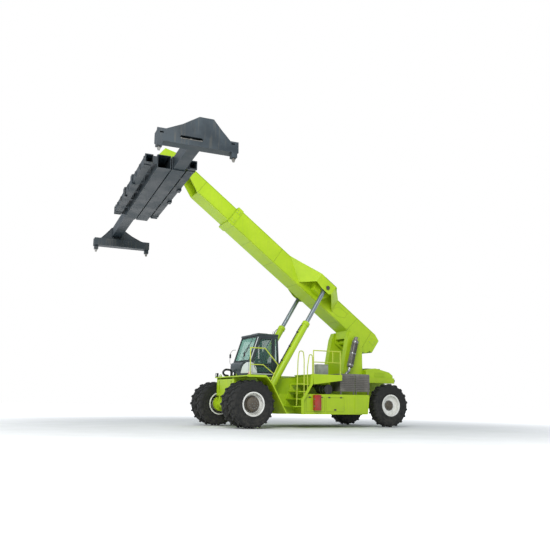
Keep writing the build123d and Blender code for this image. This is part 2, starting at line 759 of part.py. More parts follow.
def boom_outer():
    """Outer boom box with its hinge cheeks, lift cylinder wings and front collar."""
    w = BOOM_HALF_W
    box = block(BOOM_TAIL, BOOM_END, -w, w, BOOM_LOW, BOOM_HIGH)
    cheeks = side_plate(
        [
            (BOOM_TAIL, BOOM_HIGH - 60),
            (BOOM_TAIL, 520),
            (-840, 30),
            (-260, -190),
            (180, -190),
            (420, BOOM_LOW + 10),
            (420, BOOM_HIGH - 60),
        ],
        -w,
        w,
        40,
    )
    boom = box.fuse(cheeks)
    hollow = block(
        BOOM_TAIL + 60, BOOM_END + 1, -w + BOOM_WALL, w - BOOM_WALL, BOOM_LOW + BOOM_WALL,
        BOOM_HIGH - BOOM_WALL
    )
    boom = boom - hollow
    boom = boom - block(-700, 260, -w + 60, w - 60, -400, BOOM_LOW)
    chamfer_cut = side_plate(
        [(BOOM_TAIL - 1, BOOM_HIGH + 1), (BOOM_TAIL + 300, BOOM_HIGH + 1),
         (BOOM_TAIL - 1, BOOM_HIGH - 110)],
        -w - 1,
        w + 1,
    )
    boom = boom - chamfer_cut
    pin = y_bar(0, 0, PIVOT_PIN_R, -690, 690)
    collar = block(BOOM_END - 260, BOOM_END, -w - 25, w + 25, BOOM_LOW - 25, BOOM_HIGH + 25)
    collar = collar - block(BOOM_END - 261, BOOM_END + 1, -w, w, BOOM_LOW, BOOM_HIGH)
    pads = []
    gap = 5.0
    face = w - BOOM_WALL
    inner_face = w - BOOM_WALL - INNER_GAP + gap
    for side in (-1, 1):
        pads.append(block(BOOM_END - 200, BOOM_END, side * face, side * inner_face, 420, 800))
    floor_pad = block(BOOM_END - 200, BOOM_END, -300, 300, BOOM_LOW + BOOM_WALL,
                      BOOM_LOW + BOOM_WALL + INNER_GAP - gap)
    parts = [boom, pin, collar, floor_pad] + pads + both_sides(lift_wing())
    return in_boom(joined(parts))


def lift_wing():
    """Wing on the boom's left side whose ears stand on both sides of the rod's eye."""
    x, z = LIFT_EYE_ALONG, LIFT_EYE_ACROSS
    inner_ear = LIFT_Y - EYE_W / 2 - SIDE_PLAY
    outer_ear = LIFT_Y + EYE_W / 2 + SIDE_PLAY
    top_z = BOOM_HIGH
    plan = [
        (x - 870, BOOM_HALF_W),
        (x - 330, outer_ear + 50),
        (x + 330, outer_ear + 50),
        (x + 870, BOOM_HALF_W),
    ]
    roof = flat_plate(plan, top_z - 30, top_z)
    ear = [
        (x - 300, top_z),
        (x - 170, z - 60),
        (x - 90, z - 150),
        (x + 90, z - 150),
        (x + 170, z - 60),
        (x + 300, top_z),
    ]
    parts = [roof, side_plate(ear, inner_ear - 50, inner_ear)]
    parts.append(side_plate(ear, outer_ear, outer_ear + 50))
    web = [(x - 560, top_z), (x - 300, z - 250), (x + 300, z - 250), (x + 560, top_z)]
    parts.append(side_plate(web, BOOM_HALF_W, inner_ear - 50))
    for y0, y1 in ((outer_ear + 50, outer_ear + 75), (inner_ear - 75, inner_ear - 50)):
        parts.append(y_bar(x, z, 95, y0, y1))
    return joined(parts)


def boom_inner():
    """Inner boom box with the nose that carries the head pin."""
    w = BOOM_HALF_W - BOOM_WALL - INNER_GAP
    low = BOOM_LOW + BOOM_WALL + INNER_GAP
    high = BOOM_HIGH - BOOM_WALL - INNER_GAP
    box = block(INNER_REAR, NOSE_START, -w, w, low, high)
    box = box - block(INNER_REAR - 1, NOSE_START + 1, -w + INNER_WALL, w - INNER_WALL,
                      low + INNER_WALL, high - INNER_WALL)
    end = block(NOSE_START - 30, NOSE_START, -w, w, low, high)
    x, z = HEAD_ALONG, HEAD_ACROSS
    cheek = [
        (NOSE_START, low),
        (NOSE_START, high),
        (x - 260, high),
        (x + 130, high - 160),
        (x + 170, z + 40),
        (x + 60, z - 140),
        (x - 90, z - 140),
        (x - 170, z + 20),
        (x - 300, z + 600),
        (x - 1100, z + 610),
    ]
    parts = [box, end]
    parts += both_sides(side_plate(cheek, w - NOSE_PLATE, w))
    top = [(NOSE_START, high - 40), (NOSE_START, high), (x - 260, high), (x - 260, high - 40)]
    parts.append(side_plate(top, -w, w))
    parts.append(y_bar(x, z, HEAD_PIN_R, -w - 40, w + 40))
    return in_boom(joined(parts))


NOSE_PLATE = 60.0


# ---- lift cylinders -----------------------------------------------------------------
def boom_point(along, across):
    """A point of the boom, in the machine's X and Z."""
    a = radians(BOOM_ANGLE)
    x = PIVOT_X + along * cos(a) - across * sin(a)
    z = PIVOT_Z + along * sin(a) + across * cos(a)
    return Vector(x, 0, z)


def in_cylinder(shape):
    """From a cylinder standing on the origin along +Z to its place on the left side."""
    foot = Vector(LIFT_BASE_X, LIFT_Y, LIFT_BASE_Z)
    eye = boom_point(LIFT_EYE_ALONG, LIFT_EYE_ACROSS) + Vector(0, LIFT_Y, 0)
    return Plane(origin=foot, x_dir=(0, 1, 0), z_dir=eye - foot) * shape


def lift_length():
    """From the foot pin to the rod's eye, as stored."""
    foot = Vector(LIFT_BASE_X, 0, LIFT_BASE_Z)
    return (boom_point(LIFT_EYE_ALONG, LIFT_EYE_ACROSS) - foot).length


def lift_barrel():
    """Cylinder barrel with its foot eye and rod guide."""
    bore = ROD_R + 20
    foot_eye = Rot(0, 90, 0) * Cylinder(EYE_R + 20, EYE_W)
    barrel = Pos(0, 0, (BARREL_LENGTH + 90) / 2) * Cylinder(BARREL_R, BARREL_LENGTH - 90)
    gland = Pos(0, 0, BARREL_LENGTH - 60) * Cylinder(BARREL_R + 15, 120)
    body = joined([foot_eye, barrel, gland])
    hollow = Pos(0, 0, (BARREL_LENGTH + 300) / 2 + 1) * Cylinder(bore, BARREL_LENGTH - 300)
    mouth = ROD_R + RUNNING_FIT
    ring = Pos(0, 0, BARREL_LENGTH - 50) * (Cylinder(bore, 100) - Cylinder(mouth, 100))
    body = joined([body - hollow, ring])
    return in_cylinder(body - Rot(0, 90, 0) * Cylinder(LIFT_PIN_R + RUNNING_FIT, EYE_W + 2))


def lift_rod():
    """Chromed rod with the eye that reaches between the boom wing's ears."""
    length = lift_length()
    rod = Pos(0, 0, (ROD_TAIL + length - 60) / 2) * Cylinder(ROD_R, length - 60 - ROD_TAIL)
    eye = Pos(0, 0, length) * Rot(0, 90, 0) * Cylinder(EYE_R, EYE_W)
    return in_cylinder(joined([rod, eye]))


# ---- spreader -----------------------------------------------------------------------
HEAD = boom_point(HEAD_ALONG, HEAD_ACROSS)


def hung(shape):
    """From the head pin's own upright directions to its place, square to the machine."""
    return Pos(HEAD.X, 0, HEAD.Z) * shape


def slewed(shape):
    """As hung, turned with the slewing ring."""
    return hung(Rot(0, 0, -SLEW_AT_REST) * shape)


def sloped(shape):
    """From the spreader's own directions, with Z from the twist locks' seats, to its place."""
    drop = PIN_OVER_CORNERS - SLOPE_OVER_CORNERS
    lean = Rot(SLOPE_AT_REST, 0, 0) * Pos(0, 0, -SLOPE_OVER_CORNERS) * shape
    return slewed(Pos(0, 0, -drop) * lean)


def head_link():
    """Pendulum block on the head pin, with the slewing flange and its two motors."""
    half = BOOM_HALF_W - BOOM_WALL - INNER_GAP - NOSE_PLATE - SIDE_PLAY
    side = [(-165, 0), (-150, 90), (-80, 160), (80, 160), (150, 90), (165, 0), (130, -210),
            (-130, -210)]
    lug = side_plate(side, -half, half)
    flange = z_bar(0, 0, 320, -250, -205)
    motors = [z_bar(x, 0, 70, -230, -40) for x in (-235, 235)]
    body = joined([lug, flange] + motors)
    body = body - y_bar(0, 0, HEAD_PIN_R + RUNNING_FIT, -half - 1, half + 1)
    return hung(body - z_bar(0, 0, 90, -251, -230))


def rotator():
    """Slewing ring and the lug that the spreader rocks on."""
    ring = z_bar(0, 0, 420, -400, -260)
    spigot = z_bar(0, 0, 84, -262, -236)
    drop = SLOPE_OVER_CORNERS - PIN_OVER_CORNERS
    lug = side_plate([(-520, -400), (520, -400), (520, drop - 70), (-520, drop - 70)], -140, 140)
    pin = x_bar(0, drop, 50, -620, 620)
    return slewed(joined([ring, spigot, lug, pin]))


def slope_frame():
    """Carriage that rocks on the rotator and holds the spreader's two girders in claws."""
    h = SLOPE_OVER_CORNERS
    base = TUBE_TOP + 25
    cheek = [(-850, base), (-850, base + 90), (-160, h + 90), (160, h + 90), (850, base + 90),
             (850, base)]
    parts = []
    for side in (-1, 1):
        plate = cross_plate(cheek, side * 580 - 20, side * 580 + 20)
        parts.append(plate - x_bar(0, h, 50 + RUNNING_FIT, side * 540, side * 620))
    for y in (-830, 830):
        parts.append(block(-600, 600, y - 20, y + 20, base, base + 90))
    claw = [
        (590, base),
        (590, base + 35),
        (640, base + 35),
        (GIRDER_OUT + 45, GIRDER_HIGH + 50),
        (GIRDER_OUT + 45, GIRDER_LOW - 45),
        (GIRDER_OUT - 90, GIRDER_LOW - 45),
        (GIRDER_OUT - 90, GIRDER_LOW - 15),
        (GIRDER_OUT + 15, GIRDER_LOW - 15),
        (GIRDER_OUT + 15, GIRDER_HIGH + 20),
        (670, GIRDER_HIGH + 20),
        (640, base),
    ]
    for y in (-700, 700):
        hook = side_plate(claw, y - 130, y + 130)
        parts += [hook, mirror(hook, about=Plane.YZ)]
    return sloped(joined(parts))


GIRDER_IN = 620.0
GIRDER_OUT = 880.0
GIRDER_LOW = 760.0
GIRDER_HIGH = 1040.0
TUBE_TOP = ARM_HIGH + SLIDE_GAP + TUBE_WALL


def arm_tube(x):
    """One square tube of the spreader frame that an arm slides in."""
    half = ARM_W / 2 + SLIDE_GAP
    low, high = ARM_LOW - SLIDE_GAP, ARM_HIGH + SLIDE_GAP
    wall = TUBE_WALL
    outer = block(x - half - wall, x + half + wall, -FRAME_HALF_L, FRAME_HALF_L, low - wall,
                  high + wall)
    return outer - block(x - half, x + half, -FRAME_HALF_L - 1, FRAME_HALF_L + 1, low, high)


def spreader_frame():
    """Two arm tubes between two girders, joined by cross plates."""
    parts = [arm_tube(ARM_X), arm_tube(-ARM_X)]
    edge = ARM_X + ARM_W / 2 + SLIDE_GAP + TUBE_WALL
    seam = ARM_X - ARM_W / 2 - SLIDE_GAP - TUBE_WALL
    for x in (-1, 1):
        girder = block(x * GIRDER_IN, x * GIRDER_OUT, -FRAME_HALF_L, FRAME_HALF_L, GIRDER_LOW,
                       GIRDER_HIGH)
        bore = block(x * (GIRDER_IN + 16), x * (GIRDER_OUT - 16), -FRAME_HALF_L - 1,
                     FRAME_HALF_L + 1, GIRDER_LOW + 16, GIRDER_HIGH - 16)
        parts.append(girder - bore)
        for y in (-2850, -1900, -950, 0, 950, 1900, 2850):
            parts.append(block(x * edge, x * GIRDER_IN, y - 25, y + 25, GIRDER_LOW, GIRDER_HIGH))
    for y in (-2700, 0, 2700):
        parts.append(block(-seam, seam, y - 100, y + 100, ARM_LOW, ARM_HIGH))
    return sloped(joined(parts))


def end_beam():
    """Left end beam: humped end plate, box behind it, corner boxes and the sliding arm."""
    y1 = BEAM_Y + BEAM_PLATE
    humped = [
        (1215, 150),
        (1215, 540),
        (960, 540),
        (470, 770),
        (-30, 1090),
        (-470, 1090),
        (-730, 780),
        (-1000, 490),
        (-1255, 490),
        (-1255, 150),
    ]
    plate = side_plate(humped, BEAM_Y, y1)
    slot = side_plate([(-150, 305), (540, 305), (540, 415), (-150, 415)], BEAM_Y - 1, y1 + 1, 54)
    plate = plate - slot
    for x in (-1080, 1080):
        plate = plate - block(x - 55, x + 55, BEAM_Y - 1, y1 + 1, 390, 435)
    low_beam = block(-1240, 1215, BEAM_Y - 300, BEAM_Y, 150, 480)
    low_beam = low_beam - block(-1220, 1195, BEAM_Y - 280, BEAM_Y + 1, 175, 455)
    x0, x1 = -ARM_X - ARM_W / 2, -ARM_X + ARM_W / 2
    arm = block(x0, x1, ARM_INNER_END, BEAM_Y, ARM_LOW, ARM_HIGH)
    arm = arm - block(x0 + ARM_WALL, x1 - ARM_WALL, ARM_INNER_END - 1, BEAM_Y - 20,
                      ARM_LOW + ARM_WALL, ARM_HIGH - ARM_WALL)
    parts = [plate, low_beam, arm]
    for x in (x0 + 20, x1 - 20):
        web = [(BEAM_Y - 300, 480), (BEAM_Y, 480), (BEAM_Y, ARM_LOW), (BEAM_Y - 20, ARM_LOW),
               (BEAM_Y - 30, 590), (BEAM_Y - 300, 560)]
        parts.append(cross_plate(web, x - 12, x + 12))
    for x in (-CORNER_X, CORNER_X):
        corner = block(x - 85, x + 85, CORNER_Y - 110, BEAM_Y + BEAM_PLATE, SEAT_GAP, 200)
        parts.append(corner)
    beam = joined(parts)
    for x in (-CORNER_X, CORNER_X):
        beam = beam - z_bar(x, CORNER_Y, LOCK_R + RUNNING_FIT, -1, 300)
    return beam


SEAT_GAP = 0.0
LOCK_R = 30.0


def lock_pair():
    """The two twist locks of the left end beam."""
    locks = []
    for x in (-CORNER_X, CORNER_X):
        shaft = z_bar(x, CORNER_Y, LOCK_R, -45, 260)
        nut = z_bar(x, CORNER_Y, 55, 205, 260)
        head = Pos(x, CORNER_Y, -85) * loft(
            [Pos(0, 0, 40) * Rectangle(104, 56), Pos(0, 0, -40) * Rectangle(60, 34)]
        )
        locks.append(joined([shaft, nut, head]))
    return locks


def half_turn(shape):
    """The same piece at the spreader's other end."""
    return Rot(0, 0, 180) * shape


# ---- cab ----------------------------------------------------------------------------
def cab_x(x):
    """Cab stations are measured from the drive axle."""
    return FRONT_X + x


def screen_x(z):
    """Station of the windscreen's outer face, which leans back to the roof."""
    return CAB_BROW - (z - CAB_WAIST) * (CAB_BROW - CAB_FRONT_TOP) / (CAB_ROOF - CAB_WAIST)


def cab_form(inset):
    """The cab's closed form, shrunk by an inset: leaning screen, round nose, tapered corners."""
    low = CAB_FLOOR + 50 - (10 if inset else 0)
    top = CAB_ROOF - inset
    side = [
        (cab_x(CAB_REAR + inset), low, 0),
        (cab_x(CAB_NOSE - inset), low, 0),
        (cab_x(CAB_NOSE - inset), CAB_WAIST - 50 - inset, 200 - inset),
        (cab_x(screen_x(CAB_WAIST - inset) - inset), CAB_WAIST - inset, 0),
        (cab_x(screen_x(top) - inset), top, 0),
        (cab_x(CAB_REAR + 80 + inset), top, 0),
    ]
    half = CAB_Y - inset
    shoulder = 450 - 0.35 * inset
    plan = [
        (cab_x(CAB_REAR - 50), -half),
        (cab_x(-390 - inset / 2), -half),
        (cab_x(CAB_NOSE - inset), -shoulder),
        (cab_x(CAB_NOSE - inset), shoulder),
        (cab_x(-390 - inset / 2), half),
        (cab_x(CAB_REAR - 50), half),
    ]
    return side_face(rounded(side), -half, half) & flat_plate(plan, low - 5, CAB_ROOF + 5)


DOOR = [(-530, 1990), (-530, 2440), (-845, 3370), (-1440, 3370), (-1440, 1990)]
DOOR_GAP = 6.0


def station(points):
    """Outline points moved to the cab's place."""
    return [(cab_x(x), z) for x, z in points]


def screen_opening():
    """Prism that cuts the windscreen's opening."""
    return cross_plate([(-660, 2480), (660, 2480), (660, 3370), (-660, 3370)], cab_x(-1000),
                       cab_x(0))


def rear_opening():
    """Prism that cuts the rear window's opening."""
    return cross_plate([(-650, 2450), (650, 2450), (650, 3340), (-650, 3340)], cab_x(-1800),
                       cab_x(-1500))


REAR_QUARTER = [(-1490, 2450), (-1490, 3340), (-1560, 3340), (-1595, 2450)]


def cab_shell():
    """Frame of posts and rails with every window and both doorways cut out."""
    body = cab_form(0) - cab_form(CAB_WALL)
    for window in (REAR_QUARTER, DOOR):
        body = body - side_plate(station(window), -CAB_Y - 1, CAB_Y + 1)
    lugs = hinge_brackets()
    body = body - screen_opening() - rear_opening()
    return joined([body] + lugs + [mirrored(lug) for lug in lugs])


def cab_base():
    """Floor plate on four mounts."""
    plan = station([(CAB_REAR, -CAB_Y), (-390, -CAB_Y), (CAB_NOSE, -450), (CAB_NOSE, 450),
                    (-390, CAB_Y), (CAB_REAR, CAB_Y)])
    parts = [flat_plate(plan, CAB_FLOOR, CAB_FLOOR + 50)]
    for x in (-1500, -420):
        for y in (-560, 560):
            parts.append(block(cab_x(x - 60), cab_x(x + 60), y - 60, y + 60, DECK_TOP, CAB_FLOOR))
    return joined(parts)


def cab_roof():
    """Roof panel with a small overhang all round."""
    plan = [
        (cab_x(CAB_REAR + 40), -CAB_Y - 20),
        (cab_x(CAB_FRONT_TOP + 40), -CAB_Y - 20),
        (cab_x(CAB_FRONT_TOP + 40), CAB_Y + 20),
        (cab_x(CAB_REAR + 40), CAB_Y + 20),
    ]
    roof = flat_plate(plan, CAB_ROOF, CAB_ROOF + 70, 60)
    return chamfer(roof.faces().sort_by(Axis.Z)[-1].edges(), 30)


def pane(points, y, thick=8.0):
    """A side window pane in its opening."""
    return side_plate(station(points), y - thick / 2, y + thick / 2)


def cab_glass():
    """Windscreen, rear window and rear quarter panes, each following the cab's form."""
    sheet = cab_form(20) - cab_form(28)
    quarters = side_plate(station(REAR_QUARTER), -CAB_Y, CAB_Y)
    panes = []
    for opening in (screen_opening(), rear_opening(), quarters):
        panes += (sheet & opening).solids()
    return apart(panes)


def door_inset():
    """The door's own outline, smaller than the doorway by the gap."""
    g = DOOR_GAP
    return station([
        (-530 - g, 1990 + g), (-530 - g, 2440), (-845 - g, 3370 - g), (-1440 + g, 3370 - g),
        (-1440 + g, 1990 + g),
    ])


HINGE_X = -1434.0  # pin's place behind the door's rear edge
HINGE_Y = 780.0
HINGE_PIN_R = 10.0
HINGE_R = 18.0
HINGE_HEIGHTS = (2120.0, 3220.0)


def hinge_brackets():
    """Two bored lugs on the left door post for each hinge."""
    x = cab_x(HINGE_X)
    lugs = []
    for z in HINGE_HEIGHTS:
        for low in (z - 60, z + 24):
            lug = block(x - 40, x, CAB_Y - 5, HINGE_Y + HINGE_R, low, low + 36)
            lug = lug.fuse(z_bar(x, HINGE_Y, HINGE_R, low, low + 36))
            lugs.append(lug - z_bar(x, HINGE_Y, HINGE_PIN_R + RUNNING_FIT, low - 1, low + 37))
    return lugs


def hinge_leaves():
    """The door's own half of each hinge, with its pin."""
    x = cab_x(HINGE_X)
    leaves = []
    for z in HINGE_HEIGHTS:
        leaves.append(block(x, x + 60, CAB_Y - 2, CAB_Y + 12, z - 18, z + 18))
        leaves.append(block(x, x + 16, CAB_Y, HINGE_Y, z - 18, z + 18))
        leaves.append(z_bar(x, HINGE_Y, HINGE_R, z - 18, z + 18))
        leaves.append(z_bar(x, HINGE_Y, HINGE_PIN_R, z - 62, z + 62))
    return leaves


DOOR_WINDOW = [(-600, 2330), (-600, 2460), (-880, 3300), (-1370, 3300), (-1370, 2330)]
DOOR_LOW_WINDOW = [(-610, 2270), (-1370, 2270), (-1370, 2030), (-780, 2030)]


def cab_door():
    """Left door: one moulded frame with two windows, a handle and two hinge leaves."""
    leaf = side_plate(door_inset(), CAB_Y - CAB_WALL, CAB_Y)
    for window in (DOOR_WINDOW, DOOR_LOW_WINDOW):
        leaf = leaf - side_plate(station(window), CAB_Y - CAB_WALL - 1, CAB_Y + 1)
    handle = block(cab_x(-640), cab_x(-610), CAB_Y, CAB_Y + 35, 2290, 2320)
    return joined([leaf, handle] + hinge_leaves())


def door_glass():
    """The left door's two panes."""
    y = CAB_Y - CAB_WALL / 2
    return apart([pane(DOOR_WINDOW, y), pane(DOOR_LOW_WINDOW, y)])


def cab_seat():
    """Seat cushion and back on a suspension box."""
    x = cab_x(-1150)
    box = block(x - 200, x + 200, -200, 200, CAB_FLOOR + 50, 2230)
    cushion = block(x - 250, x + 270, -250, 250, 2230, 2350)
    back = side_plate([(x - 170, 2350), (x - 250, 2350), (x - 380, 2990), (x - 290, 2990)],
                      -240, 240)
    return joined([box, cushion, back])


def cab_controls():
    """Dashboard, steering column and wheel, and a screen."""
    dash = side_plate(
        station([(-250, CAB_FLOOR + 50), (-250, 2150), (-340, 2260), (-520, 2320), (-570, 2250),
                 (-440, 2160), (-440, CAB_FLOOR + 50)]),
        -400,
        400,
    )
    column = Pos(cab_x(-645), 0, 2385) * Rot(0, -35, 0) * Cylinder(35, 320)
    rim = Cylinder(200, 24) - Cylinder(172, 24)
    wheel = Pos(cab_x(-720), 0, 2493) * Rot(0, -35, 0) * rim.fuse(Box(36, 380, 16))
    return joined([dash, column, wheel])


# ---- fittings -----------------------------------------------------------------------
def air_cleaner():
    """Drum lying across the locker, with its end cap and dust valve."""
    x, z = FRONT_X - 3190, BOX_TOP + 185
    drum = y_bar(x, z, 165, 1230, 1860)
    cap = y_bar(x, z, 178, 1830, 1900)
    foot = block(x - 60, x + 60, 1400, 1700, BOX_TOP, z - 100)
    return joined([drum, cap, foot])


def heat_shield():
    """Ribbed box round the exhaust outlet on the locker."""
    fx = FRONT_X
    body = sheet_box(block(fx - 5000, fx - 3800, 1180, 1900, BOX_TOP, 2020), 15)
    for k in range(5):
        x = fx - 4920 + k * 240
        body = body.fuse(block(x, x + 60, 1900, 1920, 1330, 1980))
    return body


def exhaust_stack():
    """Perforated silencer on the left tower with its curved outlet."""
    fx = FRONT_X
    low = Vector(fx - 4700, 950, 2330)
    high = Vector(fx - 5060, 950, 3460)
    run = high - low
    plane = Plane(origin=low, z_dir=run)
    can = plane * Pos(0, 0, run.length / 2) * Cylinder(130, run.length)
    outlet = plane * Pos(0, 0, run.length + 40) * Cylinder(70, 80)
    pipe = z_bar(low.X, 950, 60, 1960, low.Z + 40)
    return joined([can, outlet, pipe])


def extinguisher_box():
    """Red locker on the front of the long side box."""
    fx = FRONT_X
    return block(fx - 2760, fx - 2490, BOX_EDGE_Y, BOX_EDGE_Y + 130, 650, 1210)


def valve_box():
    """Grey cabinet on the engine deck in front of the left tower."""
    fx = FRONT_X
    return block(fx - 4000, fx - 3520, 330, 600, FRAME_TOP + 40, 2420)


def lamps():
    """Work lamps on the deck's front edge and the tail lamps."""
    fx = FRONT_X
    parts = []
    for side in (-1, 1):
        parts.append(block(fx + 190, fx + 250, side * 740, side * 900, DECK_TOP, 2010))
        parts.append(block(TAIL_X - 160, TAIL_X - 130, side * 700, side * 960, 1800, 1900))
    return apart(parts)


# ---- nodes --------------------------------------------------------------------------
def mirrored(shape):
    return mirror(shape, about=Plane.XZ)


def build():
    """Every sub-part by name."""
    dual = apart([tyre(FRONT_X, y) for y in (DUAL_INNER_Y, DUAL_OUTER_Y)])
    beam = end_beam()
    locks = apart(lock_pair())
    nodes = {
        "main_frame": main_frame(),
        "boom_towers": towers(),
        "counterweight": counterweight(),
        "rear_hood": rear_hood(),
        "front_deck": front_deck(),
        "side_boxes": side_boxes(),
        "walkways": walkways(),
        "guardrails": guardrails(),
        "cab_handrails": cab_handrails(),
        "drive_axle": drive_axle(),
        "steer_axle": steer_axle(),
        "engine_block": engine_block(),
        "gearbox": gearbox_and_shaft(),
        "engine_deck": engine_deck(),
        "cab_base": cab_base(),
        "cab_shell": cab_shell(),
        "cab_roof": cab_roof(),
        "cab_glass": cab_glass(),
        "cab_seat": cab_seat(),
        "cab_controls": cab_controls(),
        "air_cleaner": air_cleaner(),
        "heat_shield": heat_shield(),
        "exhaust_stack": exhaust_stack(),
        "extinguisher_box": extinguisher_box(),
        "valve_box": valve_box(),
        "lamps": lamps(),
        "boom_outer": boom_outer(),
        "boom_inner": boom_inner(),
        "head_link": head_link(),
        "rotator": rotator(),
        "slope_frame": slope_frame(),
        "spreader_frame": spreader_frame(),
        "end_beam_left": sloped(beam),
        "end_beam_right": sloped(half_turn(beam)),
        "twist_locks_left": sloped(locks),
        "twist_locks_right": sloped(half_turn(locks)),
    }
    pairs = {
        "front_tyres": dual,
        "front_rims": front_rims(),
        "rear_tyre": tyre(REAR_X, STEER_TYRE_Y),
        "rear_rim": rear_rim(),
        "knuckle": knuckle(),
        "lift_barrel": lift_barrel(),
        "lift_rod": lift_rod(),
        "cab_door": cab_door(),
        "door_glass": door_glass(),
    }
    for name, shape in pairs.items():
        nodes[name + "_left"] = shape
        nodes[name + "_right"] = mirrored(shape)
    return nodes


os.makedirs("parts", exist_ok=True)
for name, shape in build().items():
    export_step(shape, f"parts/{name}.step")
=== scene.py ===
"""Looks of the reach stacker: finishes, fine parts, stage, light and camera."""

import json
import logging
import math
from collections.abc import Callable, Iterable, Sequence
from dataclasses import dataclass
from enum import Enum

import bmesh
import bpy
from mathutils import Matrix, Vector

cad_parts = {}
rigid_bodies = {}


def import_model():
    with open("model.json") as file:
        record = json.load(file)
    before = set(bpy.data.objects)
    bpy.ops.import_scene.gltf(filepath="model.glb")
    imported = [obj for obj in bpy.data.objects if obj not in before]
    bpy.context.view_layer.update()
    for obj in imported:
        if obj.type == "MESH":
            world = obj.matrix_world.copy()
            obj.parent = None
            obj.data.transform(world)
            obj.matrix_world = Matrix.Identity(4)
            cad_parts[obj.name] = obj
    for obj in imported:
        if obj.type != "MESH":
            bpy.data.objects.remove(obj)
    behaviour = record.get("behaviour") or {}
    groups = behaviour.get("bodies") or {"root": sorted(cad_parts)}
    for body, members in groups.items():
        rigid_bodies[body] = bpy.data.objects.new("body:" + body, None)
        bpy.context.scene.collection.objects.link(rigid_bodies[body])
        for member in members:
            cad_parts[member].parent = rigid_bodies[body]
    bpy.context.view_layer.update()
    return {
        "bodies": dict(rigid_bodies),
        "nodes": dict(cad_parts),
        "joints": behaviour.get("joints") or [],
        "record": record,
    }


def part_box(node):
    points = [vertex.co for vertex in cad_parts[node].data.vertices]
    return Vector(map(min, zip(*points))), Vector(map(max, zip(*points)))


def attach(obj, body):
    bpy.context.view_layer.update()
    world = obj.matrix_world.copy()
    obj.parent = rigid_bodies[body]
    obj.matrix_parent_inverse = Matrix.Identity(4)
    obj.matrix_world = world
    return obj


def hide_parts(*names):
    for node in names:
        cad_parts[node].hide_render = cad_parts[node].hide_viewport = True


log = logging.getLogger("reach_stacker")

Pair = tuple[float, float]
Point = tuple[float, float, float]
Colour = tuple[float, float, float]
Place = Callable[[float, float, float], Vector]

# ---- sizes in metres, and angles, shared with the CAD model
FRONT_X = 1.0
REAR_X = FRONT_X - 6.25
TYRE_R = 0.85
DUAL_Y = (1.225, 1.845)
STEER_Y = 1.5
PIVOT = Vector((FRONT_X - 5.25, 0.0, 3.45))
BOOM_ANGLE = math.radians(35.5)
LIFT_Y = 1.0
SLEW = math.radians(4.4)
SLOPE = math.radians(2.4)
SLOPE_PIN_Z = 1.25
HEAD_OVER_LOCKS = 1.82
HEAD_ALONG = 10.67
LIFT_EYE_ALONG = 2.487
LIFT_EYE_ACROSS = 0.676

# ---- sides of the machine and limits of mesh making
SIDES = (("left", 1), ("right", -1))
SHARP_ANGLE = math.radians(35)
POINT_RADIUS = 1e-6
LARGEST_EASE = 0.45


def srgb(text: str) -> Colour:
    """Linear colour from a hex string.

    Args:
        text: six hex digits, with or without a leading hash.

    Returns:
        Red, green and blue for a shader socket.
    """
    text = text.lstrip("#")
    levels = [int(text[i : i + 2], 16) / 255 for i in (0, 2, 4)]
    linear = [v / 12.92 if v <= 0.04045 else ((v + 0.055) / 1.055) ** 2.4 for v in levels]
    return (linear[0], linear[1], linear[2])


def from_axle(x: float, y: float, z: float) -> Vector:
    """A point whose X is measured from the drive axle.

    Args:
        x: distance ahead of the axle.
        y: distance to the left.
        z: height above the ground.

    Returns:
        The point in the model's frame.
    """
    return Vector((FRONT_X + x, y, z))


def on_boom(along: float, y: float, across: float) -> Vector:
    """A point given in the boom's own directions.

    Args:
        along: distance from the hinge along the boom.
        y: distance to the left.
        across: height over the hinge line, square to the boom.

    Returns:
        The point in the model's frame.
    """
    c, s = math.cos(BOOM_ANGLE), math.sin(BOOM_ANGLE)
    return PIVOT + Vector((along * c - across * s, y, along * s + across * c))


HEAD = on_boom(HEAD_ALONG, 0.0, 0.0)


def on_slew(x: float, y: float, z: float) -> Vector:
    """A point given from the head pin, turned with the slewing ring.

    Args:
        x: ahead along the turned spreader's width.
        y: along the spreader.
        z: height over the head pin.

    Returns:
        The point in the model's frame.
    """
    return HEAD + Matrix.Rotation(-SLEW, 3, "Z") @ Vector((x, y, z))


def on_spreader(x: float, y: float, z: float) -> Vector:
    """A point given in the spreader's own directions, from the twist locks' seats.

    Args:
        x: across the spreader.
        y: along the spreader.
        z: height over the locks' seats.

    Returns:
        The point in the model's frame.
    """
    leaning = Matrix.Rotation(SLOPE, 3, "X") @ Vector((x, y, z - SLOPE_PIN_Z))
    return on_slew(leaning.x, leaning.y, leaning.z - (HEAD_OVER_LOCKS - SLOPE_PIN_Z))


def on_cylinder(side: int) -> Place:
    """Directions of a lift cylinder, from its foot pin.

    Args:
        side: 1 on the left, -1 on the right.

    Returns:
        A function from (outwards, forwards, along) to the model's frame.
    """
    foot = Vector((FRONT_X - 1.04, side * LIFT_Y, 1.18))
    eye = on_boom(LIFT_EYE_ALONG, side * LIFT_Y, LIFT_EYE_ACROSS)
    along = (eye - foot).normalized()
    out = Vector((0, side, 0))
    ahead = along.cross(Vector((0, -1, 0)))
    ahead = -ahead if ahead.x < 0 else ahead
    return lambda x, y, z: foot + out * x + ahead * y + along * z


def on_side(place: Place, side: int) -> Place:
    """Directions whose sideways axis points outwards on the chosen side.

    Args:
        place: maps coordinates to the model's frame.
        side: 1 on the left, -1 on the right.

    Returns:
        A function from the same coordinates, with outwards for left, to the model's frame.
    """
    return lambda x, y, z: place(x, side * y, z)


def around(middle: Sequence[float]) -> Place:
    """The model's own directions, from a chosen point.

    Args:
        middle: the point that is 0, 0, 0.

    Returns:
        A function from offsets to the model's frame.
    """
    return lambda x, y, z: Vector(middle) + Vector((x, y, z))


